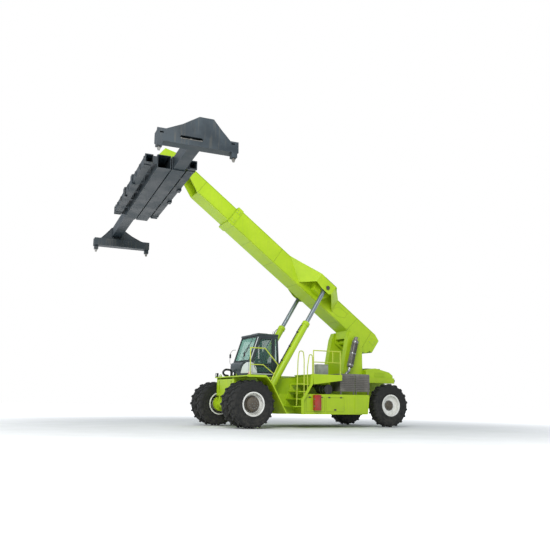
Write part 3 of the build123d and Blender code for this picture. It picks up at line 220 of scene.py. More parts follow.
def heading(place: Place, x: float, y: float, z: float) -> Vector:
    """A direction given in a sub-assembly's own directions.

    Args:
        place: maps its coordinates to the model's frame.
        x: its first component.
        y: its second component.
        z: its third component.

    Returns:
        The direction in the model's frame.
    """
    return place(x, y, z) - place(0, 0, 0)


def turns(count: int, first: float = 0.0) -> list[float]:
    """Evenly spaced angles round a circle, from the first one."""
    return [first + 2 * math.pi * k / count for k in range(count)]


def round_axle(radius: float, turn: float, y: float = 0.0) -> Vector:
    """A step from a sideways axle: by radius, angle and distance to the left."""
    return Vector((radius * math.cos(turn), y, radius * math.sin(turn)))


# ---- shader groups
class Effect(Enum):
    """Shared shader groups, by name."""

    MOTTLE = "mottle"
    ROAD_DUST = "road_dust"
    STREAKS = "streaks"
    SKIN = "skin"


class GroupMaker:
    """Makes one shader node group with its sockets."""

    def __init__(self, effect: Effect) -> None:
        """Starts an empty group for one effect."""
        self.tree = bpy.data.node_groups.new(effect.value, "ShaderNodeTree")
        self.ins = self.tree.nodes.new("NodeGroupInput")
        self.outs = self.tree.nodes.new("NodeGroupOutput")

    def socket(self, name: str, into: bool, default: float = 0.0, kind: str = "Float") -> None:
        """Adds an interface socket.

        Args:
            name: the socket's name.
            into: True for an input, False for an output.
            default: an input's default value.
            kind: Float, Color or Vector.
        """
        made = self.tree.interface.new_socket(
            name, in_out="INPUT" if into else "OUTPUT", socket_type=f"NodeSocket{kind}"
        )
        if into and kind == "Float":
            made.default_value = default

    def node(self, kind: str, **values: object) -> bpy.types.Node:
        """Adds a node.

        Args:
            kind: the node's type without its ShaderNode prefix.
            values: defaults of its inputs, with underscores for spaces.

        Returns:
            The new node.
        """
        made = self.tree.nodes.new(f"ShaderNode{kind}")
        for key, value in values.items():
            made.inputs[key.replace("_", " ")].default_value = value
        return made

    def ease(self, **values: float) -> bpy.types.Node:
        """Adds a smooth-stepped range.

        Args:
            values: its limits, with underscores for spaces.

        Returns:
            The new node.
        """
        made = self.node("MapRange", **values)
        made.interpolation_type = "SMOOTHSTEP"
        return made

    def product(self, a: bpy.types.NodeSocket, b: bpy.types.NodeSocket) -> bpy.types.NodeSocket:
        """Multiplies two sockets.

        Args:
            a: one factor.
            b: the other.

        Returns:
            The product's socket.
        """
        made = self.node("Math")
        made.operation = "MULTIPLY"
        self.link(a, made.inputs[0])
        self.link(b, made.inputs[1])
        return made.outputs["Value"]

    def link(self, a: bpy.types.NodeSocket, b: bpy.types.NodeSocket) -> None:
        """Links an output socket to an input socket."""
        self.tree.links.new(a, b)


def make_mottle() -> bpy.types.NodeTree:
    """Cloudy patches.

    Returns:
        A group with inputs Scale, Low and High and the output Mask.
    """
    g = GroupMaker(Effect.MOTTLE)
    g.socket("Scale", True, 2.0)
    g.socket("Low", True, 0.35)
    g.socket("High", True, 0.7)
    g.socket("Mask", False)
    where = g.node("TexCoord")
    noise = g.node("TexNoise", Detail=6.0, Roughness=0.6)
    spread = g.ease()
    g.link(where.outputs["Object"], noise.inputs["Vector"])
    g.link(g.ins.outputs["Scale"], noise.inputs["Scale"])
    g.link(noise.outputs["Fac"], spread.inputs["Value"])
    g.link(g.ins.outputs["Low"], spread.inputs["From Min"])
    g.link(g.ins.outputs["High"], spread.inputs["From Max"])
    g.link(spread.outputs["Result"], g.outs.inputs["Mask"])
    return g.tree


def make_road_dust() -> bpy.types.NodeTree:
    """Dust that thins out with height above the ground.

    Returns:
        A group with inputs Top and Amount and the output Mask.
    """
    g = GroupMaker(Effect.ROAD_DUST)
    g.socket("Top", True, 1.6)
    g.socket("Amount", True, 0.5)
    g.socket("Mask", False)
    place = g.node("NewGeometry")
    split = g.node("SeparateXYZ")
    height = g.ease(From_Min=0.0, To_Min=1.0, To_Max=0.0)
    noise = g.node("TexNoise", Scale=9.0, Detail=8.0)
    patch = g.ease(From_Min=0.32, From_Max=0.66)
    g.link(place.outputs["Position"], split.inputs["Vector"])
    g.link(place.outputs["Position"], noise.inputs["Vector"])
    g.link(split.outputs["Z"], height.inputs["Value"])
    g.link(g.ins.outputs["Top"], height.inputs["From Max"])
    g.link(noise.outputs["Fac"], patch.inputs["Value"])
    both = g.product(height.outputs["Result"], patch.outputs["Result"])
    g.link(g.product(both, g.ins.outputs["Amount"]), g.outs.inputs["Mask"])
    return g.tree


def make_streaks() -> bpy.types.NodeTree:
    """Rain and grime streaks that run down upright faces.

    Returns:
        A group with the input Amount and the output Mask.
    """
    g = GroupMaker(Effect.STREAKS)
    g.socket("Amount", True, 0.3)
    g.socket("Mask", False)
    place = g.node("NewGeometry")
    stretch = g.node("Mapping", Scale=(14.0, 14.0, 0.9))
    noise = g.node("TexNoise", Scale=1.0, Detail=4.0)
    cut = g.ease(From_Min=0.5, From_Max=0.8)
    facing = g.node("SeparateXYZ")
    level = g.node("Math")
    level.operation = "ABSOLUTE"
    upright = g.node("Math")
    upright.operation = "SUBTRACT"
    upright.inputs[0].default_value = 1.0
    g.link(place.outputs["Position"], stretch.inputs["Vector"])
    g.link(stretch.outputs["Vector"], noise.inputs["Vector"])
    g.link(noise.outputs["Fac"], cut.inputs["Value"])
    g.link(place.outputs["Normal"], facing.inputs["Vector"])
    g.link(facing.outputs["Z"], level.inputs[0])
    g.link(level.outputs["Value"], upright.inputs[1])
    both = g.product(cut.outputs["Result"], upright.outputs["Value"])
    g.link(g.product(both, g.ins.outputs["Amount"]), g.outs.inputs["Mask"])
    return g.tree


def make_skin() -> bpy.types.NodeTree:
    """Fine relief of a painted, cast or moulded skin.

    Returns:
        A group with inputs Grain and Depth and the output Normal.
    """
    g = GroupMaker(Effect.SKIN)
    g.socket("Grain", True, 60.0)
    g.socket("Depth", True, 0.1)
    g.socket("Normal", False, kind="Vector")
    where = g.node("TexCoord")
    noise = g.node("TexNoise", Detail=3.0)
    bump = g.node("Bump", Distance=0.01)
    g.link(where.outputs["Object"], noise.inputs["Vector"])
    g.link(g.ins.outputs["Grain"], noise.inputs["Scale"])
    g.link(noise.outputs["Fac"], bump.inputs["Height"])
    g.link(g.ins.outputs["Depth"], bump.inputs["Strength"])
    g.link(bump.outputs["Normal"], g.outs.inputs["Normal"])
    return g.tree


MAKERS: dict[Effect, Callable[[], bpy.types.NodeTree]] = {
    Effect.MOTTLE: make_mottle,
    Effect.ROAD_DUST: make_road_dust,
    Effect.STREAKS: make_streaks,
    Effect.SKIN: make_skin,
}


class Shader:
    """A material's node tree with shortcuts."""

    def __init__(self, name: str) -> None:
        """Starts a material with a Principled surface.

        Args:
            name: the material's name.
        """
        self.material = bpy.data.materials.new(name)
        self.material.use_nodes = True
        self.tree = self.material.node_tree
        self.surface = self.tree.nodes["Principled BSDF"]

    def group(self, effect: Effect, **values: float) -> bpy.types.Node:
        """Adds a shared effect.

        Args:
            effect: which one.
            values: inputs to set.

        Returns:
            The group node.
        """
        tree = bpy.data.node_groups.get(effect.value) or MAKERS[effect]()
        made = self.tree.nodes.new("ShaderNodeGroup")
        made.node_tree = tree
        for key, value in values.items():
            made.inputs[key].default_value = value
        return made

    def mix(
        self, fac: bpy.types.NodeSocket, a: Colour | bpy.types.NodeSocket, b: Colour
    ) -> bpy.types.NodeSocket:
        """Mixes a colour over another by a mask.

        Args:
            fac: the mask.
            a: colour or socket where the mask is 0.
            b: colour where the mask is 1.

        Returns:
            The mixed colour's socket.
        """
        made = self.tree.nodes.new("ShaderNodeMix")
        made.data_type = "RGBA"
        self.tree.links.new(fac, made.inputs["Factor"])
        if isinstance(a, tuple):
            made.inputs["A"].default_value = (*a, 1.0)
        else:
            self.tree.links.new(a, made.inputs["A"])
        made.inputs["B"].default_value = (*b, 1.0)
        return made.outputs["Result"]

    def span(self, value: bpy.types.NodeSocket, low: float, high: float) -> bpy.types.NodeSocket:
        """Spreads a mask over a range.

        Args:
            value: the mask.
            low: result at 0.
            high: result at 1.

        Returns:
            The result's socket.
        """
        made = self.tree.nodes.new("ShaderNodeMapRange")
        made.inputs["To Min"].default_value = low
        made.inputs["To Max"].default_value = high
        self.tree.links.new(value, made.inputs["Value"])
        return made.outputs["Result"]

    def feed(self, socket: str, source: bpy.types.NodeSocket) -> None:
        """Links a source to one of the surface's inputs."""
        self.tree.links.new(source, self.surface.inputs[socket])

    def plain(self, socket: str, value: float | tuple[float, ...]) -> None:
        """Sets one of the surface's inputs."""
        self.surface.inputs[socket].default_value = value


# ---- finishes
@dataclass(frozen=True)
class Finish:
    """A worn opaque finish: two tones, road dust, streaks and a fine relief."""

    name: str
    tone: str
    faded: str
    dirt: str = "#6d6450"
    patch_scale: float = 1.6
    rough: Pair = (0.3, 0.5)
    metallic: float = 0.0
    coat: float = 0.0
    coat_rough: float = 0.15
    dust_top: float = 1.7
    dust: float = 0.45
    streaks: float = 0.25
    grain: float = 70.0
    relief: float = 0.06

    def build(self) -> bpy.types.Material:
        """Makes the material.

        Returns:
            The finished material.
        """
        s = Shader(self.name)
        patches = s.group(Effect.MOTTLE, Scale=self.patch_scale).outputs["Mask"]
        dusty = s.group(Effect.ROAD_DUST, Top=self.dust_top, Amount=self.dust).outputs["Mask"]
        runs = s.group(Effect.STREAKS, Amount=self.streaks).outputs["Mask"]
        colour = s.mix(patches, srgb(self.tone), srgb(self.faded))
        colour = s.mix(runs, colour, srgb(self.dirt))
        colour = s.mix(dusty, colour, srgb(self.dirt))
        s.feed("Base Color", colour)
        s.feed("Roughness", s.span(patches, *self.rough))
        skin = s.group(Effect.SKIN, Grain=self.grain, Depth=self.relief)
        s.feed("Normal", skin.outputs["Normal"])
        s.plain("Metallic", self.metallic)
        s.plain("Coat Weight", self.coat)
        s.plain("Coat Roughness", self.coat_rough)
        return s.material


@dataclass(frozen=True)
class Glass:
    """Tinted glass with a little grime."""

    name: str
    tint: str
    clear: float = 0.25
    edge: float = 0.85
    film: str = "#9cc0b2"
    rough: Pair = (0.02, 0.12)

    def build(self) -> bpy.types.Material:
        """Makes the material.

        Returns:
            The finished material.
        """
        s = Shader(self.name)
        film = s.group(Effect.MOTTLE, Scale=1.2, Low=0.5, High=0.95).outputs["Mask"]
        s.feed("Base Color", s.mix(film, srgb(self.tint), srgb(self.film)))
        s.feed("Roughness", s.span(film, *self.rough))
        facing = s.tree.nodes.new("ShaderNodeLayerWeight")
        facing.inputs["Blend"].default_value = 0.25
        s.feed("Alpha", s.span(facing.outputs["Facing"], self.clear, self.edge))
        s.plain("Specular IOR Level", 0.8)
        return s.material


@dataclass(frozen=True)
class Lens:
    """Lamp lens with moulded flutes."""

    name: str
    tone: str
    pale: str = "#f4f4ee"
    flutes: float = 40.0
    glow: float = 0.25

    def build(self) -> bpy.types.Material:
        """Makes the material.

        Returns:
            The finished material.
        """
        s = Shader(self.name)
        where = s.tree.nodes.new("ShaderNodeTexCoord")
        wave = s.tree.nodes.new("ShaderNodeTexWave")
        wave.inputs["Scale"].default_value = self.flutes
        s.tree.links.new(where.outputs["Object"], wave.inputs["Vector"])
        colour = s.mix(wave.outputs["Fac"], srgb(self.tone), srgb(self.pale))
        s.feed("Base Color", colour)
        s.feed("Emission Color", colour)
        s.plain("Emission Strength", self.glow)
        s.plain("Roughness", 0.12)
        return s.material


FINISHES: tuple[Finish | Glass | Lens, ...] = (
    Finish(
        "lime_paint", "#a0c000", "#a9c60a", rough=(0.42, 0.55), coat=0.08, dust=0.1, streaks=0.1
    ),
    Finish("yellow_rail", "#b9c63e", "#a3b434", dust=0.2),
    Finish(
        "spreader_paint", "#1c262c", "#28343b", rough=(0.4, 0.6), streaks=0.3, relief=0.1
    ),
    Finish("grey_paint", "#8b8f88", "#a2a59d", rough=(0.4, 0.6), streaks=0.35),
    Finish("red_paint", "#b3261e", "#9c2019", coat=0.3),
    Finish("white_rim", "#f3f3ee", "#e2e2da", dust_top=2.2, dust=0.25, streaks=0.2),
    Finish(
        "tyre_rubber", "#131514", "#1d1f1e", "#5b564d", 5.0, (0.75, 0.92), dust_top=2.0,
        dust=0.25, streaks=0.0, grain=120.0, relief=0.25,
    ),
    Finish(
        "axle_iron", "#3a3833", "#57524a", rough=(0.5, 0.75), metallic=0.3, dust=0.7, relief=0.3
    ),
    Finish(
        "chrome_rod", "#8f989e", "#838c92", rough=(0.28, 0.38), metallic=0.85, dust=0.0,
        streaks=0.05, relief=0.0,
    ),
    Finish(
        "lock_steel", "#8a8a86", "#6f6a62", rough=(0.35, 0.6), metallic=0.8, streaks=0.2
    ),
    Glass("window_glass", "#8cc4b1", 0.18),
    Finish("seat_fabric", "#1f2124", "#2b2e31", rough=(0.8, 0.95), dust=0.0),
    Finish("black_plastic", "#16181a", "#24272a", rough=(0.4, 0.6), dust=0.3),
    Lens("lamp_plastic", "#d7d9d4"),
    Finish(
        "cab_paint", "#1d2a2b", "#27373a", rough=(0.25, 0.45), coat=0.3, dust=0.15, streaks=0.1
    ),
    # door_glass is a darker copy of window_glass; its tint holds painted shade seen through the
    # doors
    Glass("door_glass", "#3f665b", 0.3),
    Finish("lime_shadow", "#6f8510", "#7d9420", dust=0.3, streaks=0.1),
    Finish(
        "shield_sheet", "#6d6a64", "#8b8780", "#4b3d30", rough=(0.4, 0.6), metallic=0.5,
        dust=0.4, streaks=0.5, relief=0.12,
    ),
    Finish(
        "hub_iron", "#4a443d", "#5f574d", rough=(0.5, 0.75), metallic=0.2, dust_top=2.2,
        dust=0.5, relief=0.25,
    ),
    Finish("grey_panel", "#c4cac9", "#d2d6d4", dust=0.1, streaks=0.08),
    Finish(
        "hose_rubber", "#141516", "#222425", rough=(0.5, 0.7), dust=0.2, streaks=0.0
    ),
    Finish(
        "bare_steel", "#9a9c9b", "#7f8280", rough=(0.25, 0.45), metallic=0.9, dust=0.2
    ),
    Lens("amber_lens", "#e08a1a"),
    Lens("red_lens", "#b01c18"),
)


REPAINTED: dict[str, str] = {
    # the door panes take the darker door glass, whose tint holds painted shade
    "door_glass_left": "door_glass",
    "door_glass_right": "door_glass",
    "drive_axle": "lime_paint",
    "lamps": "black_plastic",
    "cab_shell": "cab_paint",
    "cab_roof": "cab_paint",
    "cab_door_left": "cab_paint",
    "cab_door_right": "cab_paint",
    "cab_base": "cab_paint",
}


class Palette:
    """Every finish, built once."""

    def __init__(self) -> None:
        """Builds all the finishes."""
        self.made = {finish.name: finish.build() for finish in FINISHES}

    def __getitem__(self, name: str) -> bpy.types.Material:
        """The material of a named finish."""
        return self.made[name]

    def coat(self, frame: dict) -> None:
        """Gives each CAD node its finish.
        """
        by_node = {p["node"]: p["material_slot"] for p in frame["record"]["subparts"]}
        for node, thing in frame["nodes"].items():
            thing.data.materials.clear()
            thing.data.materials.append(self[REPAINTED.get(node, by_node[node])])
        log.info("coated %d nodes", len(by_node))


# ---- mesh building
def rounded_line(
    points: Sequence[Vector], radius: float, closed: bool = False, steps: int = 5
) -> list[Vector]:
    """A centre line whose corners are eased with arcs.

    Args:
        points: the corners.
        radius: how far from a corner its easing starts.
        closed: True for a loop.
        steps: segments in each eased corner.

    Returns:
        The eased line.
    """
    line = []
    count = len(points)
    for i, corner in enumerate(points):
        if not closed and i in (0, count - 1):
            line.append(corner)
            continue
        before, after = points[i - 1], points[(i + 1) % count]
        shorter = min((before - corner).length, (after - corner).length)
        reach = min(radius, shorter * LARGEST_EASE)
        start = corner + (before - corner).normalized() * reach
        end = corner + (after - corner).normalized() * reach
        for k in range(steps + 1):
            t = k / steps
            line.append(start * (1 - t) ** 2 + corner * 2 * t * (1 - t) + end * t**2)
    if closed:
        line.append(line[0])
    return line


class Builder:
    """Collects mesh forms and turns them into one named piece."""

    def __init__(self) -> None:
        """Starts an empty mesh."""
        self.mesh = bmesh.new()

    def cuboid(self, place: Place, a: Point, b: Point, bevel: float = 0.003) -> None:
        """Adds a block that is square to a sub-assembly's own directions.

        Args:
            place: maps the sub-assembly's coordinates to the model's frame.
            a: one corner.
            b: the opposite corner.
            bevel: width of the edge softening.
        """
        low, high = tuple(map(min, a, b)), tuple(map(max, a, b))
        verts = [
            self.mesh.verts.new(place(*(high[i] if bits >> i & 1 else low[i] for i in range(3))))
            for bits in range(8)
        ]
        sides = ((0, 2, 3, 1), (4, 5, 7, 6), (0, 1, 5, 4), (2, 6, 7, 3), (0, 4, 6, 2), (1, 3, 7, 5))
        faces = [self.mesh.faces.new([verts[k] for k in side]) for side in sides]
        edges = {e for f in faces for e in f.edges}
        bmesh.ops.bevel(
            self.mesh, geom=list(edges), offset=bevel, segments=2, profile=0.5, affect="EDGES"
        )

    def lathe(
        self,
        profile: Sequence[Pair],
        centre: Sequence[float],
        axis: Sequence[float],
        segments: int = 24,
    ) -> None:
        """Turns a profile about an axis.

        Args:
            profile: pairs of radius and distance along the axis.
            centre: where the distance is 0.
            axis: the turning axis.
            segments: steps round.
        """
        turn = Vector(axis).to_track_quat("Z", "Y").to_matrix().to_4x4()
        place = Matrix.Translation(Vector(centre)) @ turn
        rings = []
        for radius, along in profile:
            steps = turns(segments) if radius > POINT_RADIUS else [0.0]
            points = [Vector((radius * math.cos(a), radius * math.sin(a), along)) for a in steps]
            rings.append([self.mesh.verts.new(place @ point) for point in points])
        self.join(rings, segments)

    def join(self, rings: Sequence[Sequence[bmesh.types.BMVert]], sides: int) -> None:
        """Joins each ring to the next with faces; a ring may be a single point.

        Args:
            rings: the rings in order.
            sides: steps round.
        """
        for low, high in zip(rings, rings[1:]):
            for k in range(sides):
                n = (k + 1) % sides
                corners = [low[k % len(low)], low[n % len(low)], high[n % len(high)],
                           high[k % len(high)]]
                kept = list(dict.fromkeys(corners))
                if len(kept) > 2:
                    self.mesh.faces.new(kept)

    def tube(self, points: Sequence[Sequence[float]], radius: float, sides: int = 10) -> None:
        """Adds a round tube through points.

        Args:
            points: the centre line.
            radius: the tube's radius.
            sides: steps round.
        """
        line = [Vector(p) for p in points]
        rings = []
        normal = None
        for i, point in enumerate(line):
            ahead = line[min(i + 1, len(line) - 1)] - line[max(i - 1, 0)]
            ahead.normalize()
            if normal is None:
                normal = ahead.orthogonal().normalized()
            normal = (normal - ahead * normal.dot(ahead)).normalized()
            side = ahead.cross(normal)
            points = [point + (normal * math.cos(a) + side * math.sin(a)) * radius
                      for a in turns(sides)]
            rings.append([self.mesh.verts.new(p) for p in points])
        self.join(rings, sides)
        self.mesh.faces.new(list(reversed(rings[0])))
        self.mesh.faces.new(rings[-1])

    def bolt(self, where: Sequence[float], axis: Sequence[float], size: float) -> None:
        """Adds a hexagon bolt head on a washer.

        Args:
            where: centre of the washer's underside.
            axis: which way the head stands.
            size: the head's radius over its corners.
        """
        washer = [(0, 0), (size * 1.25, 0), (size * 1.25, size * 0.2), (size, size * 0.2)]
        self.lathe([*washer, (0, size * 0.2)], where, axis, 12)
        head = Vector(where) + Vector(axis).normalized() * size * 0.2
        shape = [(0, 0), (size, 0), (size, size * 0.6), (size * 0.86, size * 0.72)]
        self.lathe([*shape, (0, size * 0.72)], head, axis, 6)

    def bolts(
        self, places: Iterable[Sequence[float]], axis: Sequence[float], size: float
    ) -> None:
        """Adds several bolts.

        Args:
            places: where each one sits.
            axis: which way the heads stand.
            size: a head's radius over its corners.
        """
        for place in places:
            self.bolt(place, axis, size)

    def bent_tube(
        self,
        place: Place,
        corners: Sequence[Point],
        ease: float,
        radius: float,
        sides: int = 8,
        closed: bool = False,
        steps: int = 5,
    ) -> None:
        """Adds a round tube with eased bends.

        Args:
            place: maps the sub-assembly's coordinates to the model's frame.
            corners: the centre line's corners.
            ease: how far from a corner its bend starts.
            radius: the tube's radius.
            sides: steps round.
            closed: True for a loop.
            steps: segments in each bend.
        """
        line = rounded_line([place(*corner) for corner in corners], ease, closed, steps)
        self.tube(line, radius, sides)

    def skin(
        self, place: Place, corners: Sequence[Point], thick: Point, bevel: float = 0.0
    ) -> None:
        """Adds a plate given in a sub-assembly's own directions.

        Args:
            place: maps the sub-assembly's coordinates to the model's frame.
            corners: corners of one face.
            thick: vector from that face to the other.
            bevel: width of the edge softening.
        """
        self.plate([place(*corner) for corner in corners], heading(place, *thick), bevel)

    def bolt_circle(
        self,
        centre: Sequence[float],
        side: int,
        radius: float,
        lift: float,
        count: int,
        size: float,
        turn: float = 0.0,
    ) -> None:
        """Adds bolts round a hub or pin that points sideways.

        Args:
            centre: the hub's centre.
            side: 1 where the heads stand to the left, -1 to the right.
            radius: the circle's radius.
            lift: how far out from the centre the bolts sit.
            count: how many there are.
            size: a head's radius over its corners.
            turn: angle of the first one.
        """
        for a in turns(count, turn):
            self.bolt(Vector(centre) + round_axle(radius, a, side * lift), (0, side, 0), size)

    def plate(
        self, points: Sequence[Sequence[float]], thickness: Sequence[float], bevel: float = 0.002
    ) -> None:
        """Adds a flat plate from its corners.

        Args:
            points: corners of one face.
            thickness: vector from that face to the other.
            bevel: width of the edge softening.
        """
        shift = Vector(thickness)
        near = [self.mesh.verts.new(Vector(p)) for p in points]
        far = [self.mesh.verts.new(Vector(p) + shift) for p in points]
        faces = [self.mesh.faces.new(near), self.mesh.faces.new(list(reversed(far)))]
        for k in range(len(near)):
            n = (k + 1) % len(near)
            faces.append(self.mesh.faces.new([near[n], near[k], far[k], far[n]]))
        if bevel:
            edges = {e for f in faces for e in f.edges}
            bmesh.ops.bevel(
                self.mesh, geom=list(edges), offset=bevel, segments=1, affect="EDGES"
            )

    def finish(self, name: str, material: bpy.types.Material, body: str) -> bpy.types.Object:
        """Makes the piece.

        Args:
            name: the piece's name.
            material: its finish.
            body: the CAD body that it moves with.

        Returns:
            The new object.
        """
        bmesh.ops.recalc_face_normals(self.mesh, faces=self.mesh.faces)
        data = bpy.data.meshes.new(name)
        self.mesh.to_mesh(data)
        self.mesh.free()
        data.materials.append(material)
        data.set_sharp_from_angle(angle=SHARP_ANGLE)
        for face in data.polygons:
            face.use_smooth = True
        piece = bpy.data.objects.new(name, data)
        bpy.context.scene.collection.objects.link(piece)
        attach(piece, body)
        log.info("%s: %d faces on %s", name, len(data.polygons), body)
        return piece


# ---- wheels
@dataclass
class Dresser:
    """A sub-assembly that gets its fine parts.

    Attributes:
        palette: the finishes.
    """

    palette: Palette

    def dress(self) -> None:
        """Makes the sub-assembly's pieces."""
        raise NotImplementedError

    def make(
        self, build: Builder, name: str, finish: str, body: str = "chassis"
    ) -> bpy.types.Object:
        """Turns collected forms into a piece.

        Args:
            build: the forms.
            name: the piece's name.
            finish: its finish's name.
            body: the CAD body that it moves with.

        Returns:
            The new object.
        """
        return build.finish(name, self.palette[finish], body)


@dataclass
class Tyres(Dresser):
    """Six lugged tyres, each carcass turned and each lug a bevelled block."""

    lugs: int = 18
    slant: float = math.radians(12)
    inner_r: float = 0.4005
    inner_half: float = 0.12
    tread_r: float = 0.815
    tie_r: float = 0.802

    def profile(self) -> list[Pair]:
        """Half the carcass's section as radius and distance from the middle."""
        return [
            (0.4005, 0.196), (0.431, 0.2), (0.436, 0.206), (0.476, 0.243), (0.488, 0.2445),
            (0.493, 0.238), (0.505, 0.238), (0.512, 0.2445), (0.56, 0.2448), (0.566, 0.2405),
            (0.574, 0.2405), (0.582, 0.2447), (0.66, 0.243), (0.672, 0.236), (0.688, 0.236),
            (0.7, 0.241), (0.745, 0.232), (0.772, 0.215), (0.79, 0.198), (0.8, 0.182),
            (0.803, 0.178), (0.806, 0.15), (0.807, 0.06),
        ]

    def lug(self, build: Builder, turn: float, side: int, centre: Vector) -> None:
        """Adds one lug.

        Args:
            build: where it goes.
            turn: its angle about the axle.
            side: which shoulder, 1 or -1.
            centre: the tyre's middle.
        """
        stations = [
            (0.012, 0.80, 0.832, 0.024), (0.045, 0.80, 0.85, 0.03), (0.11, 0.80, 0.85, 0.033),
            (0.185, 0.79, 0.849, 0.037), (0.206, 0.77, 0.836, 0.038), (0.232, 0.755, 0.79, 0.038),
            (0.2415, 0.748, 0.76, 0.036),
        ]
        rings = []
        for w, low, high, half in stations:
            lead = math.tan(self.slant) * (w - 0.13)
            ring = []
            for radius, offset in (
                (low, -half - 0.006), (high - 0.007, -half), (high, -half + 0.008),
                (high, half - 0.008), (high - 0.007, half), (low, half + 0.006),
            ):
                a = turn + side * (offset + lead) / self.tread_r
                ring.append(build.mesh.verts.new(centre + round_axle(radius, a, side * w)))
            rings.append(ring)
        for low_ring, high_ring in zip(rings, rings[1:]):
            for k in range(5):
                build.mesh.faces.new(
                    [low_ring[k], low_ring[k + 1], high_ring[k + 1], high_ring[k]]
                )
        build.mesh.faces.new(rings[0])
        build.mesh.faces.new(rings[-1])

    def add(self, build: Builder, x: float, y: float) -> None:
        """Adds a whole tyre.

        Args:
            build: where it goes.
            x: the axle's place.
            y: the tyre's middle.
        """
        centre = Vector((x, y, TYRE_R))
        half = self.profile()
        whole = [*half, *((r, -w) for r, w in reversed(half))]
        whole += [(self.inner_r, -self.inner_half), (self.inner_r, self.inner_half), half[0]]
        build.lathe(whole, centre, (0, 1, 0), 96)
        step = 2 * math.pi / self.lugs
        for k in range(self.lugs):
            self.lug(build, math.pi / 2 + k * step, 1, centre)
            self.lug(build, math.pi / 2 + (k + 0.5) * step, -1, centre)
            for part in (0.25, 0.75):
                self.bar(build, math.pi / 2 + (k + part) * step, centre)

    def bar(self, build: Builder, turn: float, centre: Vector) -> None:
        """Adds a low tie bar on the tread's middle.

        Args:
            build: where it goes.
            turn: its angle about the axle.
            centre: the tyre's middle.
        """
        out, along = round_axle(1.0, turn), round_axle(1.0, turn + math.pi / 2)
        base = centre + out * self.tie_r
        corners = [
            base + along * a + Vector((0, w, 0))
            for a, w in ((-0.03, -0.03), (0.03, -0.05), (0.03, 0.03), (-0.03, 0.05))
        ]
        build.plate(corners, out * 0.026, 0.004)

    def dress(self) -> None:
        """Replaces each CAD tyre node."""
        for name, side in SIDES:
            twin, lone = Builder(), Builder()
            for y in DUAL_Y:
                self.add(twin, FRONT_X, side * y)
            pair = self.make(twin, f"dual_tread_{name}", "tyre_rubber", f"front_wheels_{name}")
            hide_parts(f"front_tyres_{name}")
            self.add(lone, REAR_X, side * STEER_Y)
            single = self.make(lone, f"steer_tread_{name}", "tyre_rubber", f"rear_wheel_{name}")
            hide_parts(f"rear_tyre_{name}")


@dataclass
class Hubs(Dresser):
    """Planetary hub covers, wheel nuts, lock rings and valves."""

    front_face: float = DUAL_Y[1] + 0.04
    rear_face: float = STEER_Y + 0.065
    valve_turn: float = math.radians(250)

    def front(self, build: Builder, steel: Builder, side: int) -> None:
        """Adds a driven hub.

        Args:
            build: cast parts.
            steel: nuts and studs.
            side: 1 on the left, -1 on the right.
        """
        centre = (FRONT_X, side * self.front_face, TYRE_R)
        build.lathe(
            [(0.0, 0.0), (0.3, 0.0), (0.305, 0.004), (0.3, 0.01), (0.262, 0.012), (0.255, 0.03),
             (0.241, 0.036), (0.241, 0.149), (0.203, 0.181), (0.192, 0.183),
             (0.125, 0.185), (0.12, 0.194), (0.085, 0.199), (0.08, 0.19), (0.0, 0.19)],
            centre, (0, side, 0), 64,
        )
        steel.bolt_circle(centre, side, 0.279, 0.01, 20, 0.017)
        steel.bolt_circle(centre, side, 0.158, 0.1845, 12, 0.013, math.pi / 12)
        steel.bolt_circle(centre, side, 0.06, 0.19, 3, 0.015, 0.4)

    def rear(self, build: Builder, steel: Builder, side: int) -> None:
        """Adds a steered hub.

        Args:
            build: cast parts.
            steel: nuts and studs.
            side: 1 on the left, -1 on the right.
        """
        centre = (REAR_X, side * self.rear_face, TYRE_R)
        build.lathe(
            [(0.0, 0.0), (0.2, 0.0), (0.204, 0.006), (0.2, 0.014), (0.165, 0.018), (0.15, 0.03),
             (0.148, 0.068), (0.128, 0.085), (0.1, 0.088), (0.094, 0.104), (0.05, 0.112),
             (0.0, 0.112)],
            centre, (0, side, 0), 56,
        )
        steel.bolt_circle(centre, side, 0.18, 0.014, 10, 0.017)
        steel.bolt_circle(centre, side, 0.112, 0.087, 6, 0.01)

    def rings(self, build: Builder, x: float, y: float, side: int) -> None:
        """Adds a rim's outer lock ring, its inner bead and its valve.

        Args:
            build: where they go.
            x: the axle's place.
            y: the tyre's middle.
            side: 1 on the left, -1 on the right.
        """
        centre = Vector((x, y, TYRE_R))
        build.lathe([(0.388, 0.2), (0.4, 0.2215), (0.41, 0.2265), (0.424, 0.2265),
                     (0.43, 0.2215), (0.43, 0.2005)], centre, (0, side, 0), 72)
        build.lathe([(0.3835, 0.06), (0.372, 0.062), (0.372, 0.072), (0.3835, 0.076)],
                    centre, (0, side, 0), 72)
        valve = ((0.375, 0.1), (0.345, 0.1), (0.33, 0.13), (0.33, 0.19))
        build.tube([centre + round_axle(r, self.valve_turn, side * out) for r, out in valve],
                   0.006, 8)

    def dress(self) -> None:
        """Makes the hubs of all four wheels."""
        wheels = (
            (self.front, "planetary_cover", "front", "front_wheels", FRONT_X, DUAL_Y[1]),
            (self.rear, "steer_hub_cover", "steer", "rear_wheel", REAR_X, STEER_Y),
        )
        for name, side in SIDES:
            for hub, cover, kind, wheel, x, y in wheels:
                cast, steel, ring = Builder(), Builder(), Builder()
                hub(cast, steel, side)
                self.rings(ring, x, side * y, side)
                self.make(cast, f"{cover}_{name}", "hub_iron", f"{wheel}_{name}")
                self.make(steel, f"{kind}_nuts_{name}", "bare_steel", f"{wheel}_{name}")
                self.make(ring, f"{kind}_lock_ring_{name}", "white_rim", f"{wheel}_{name}")


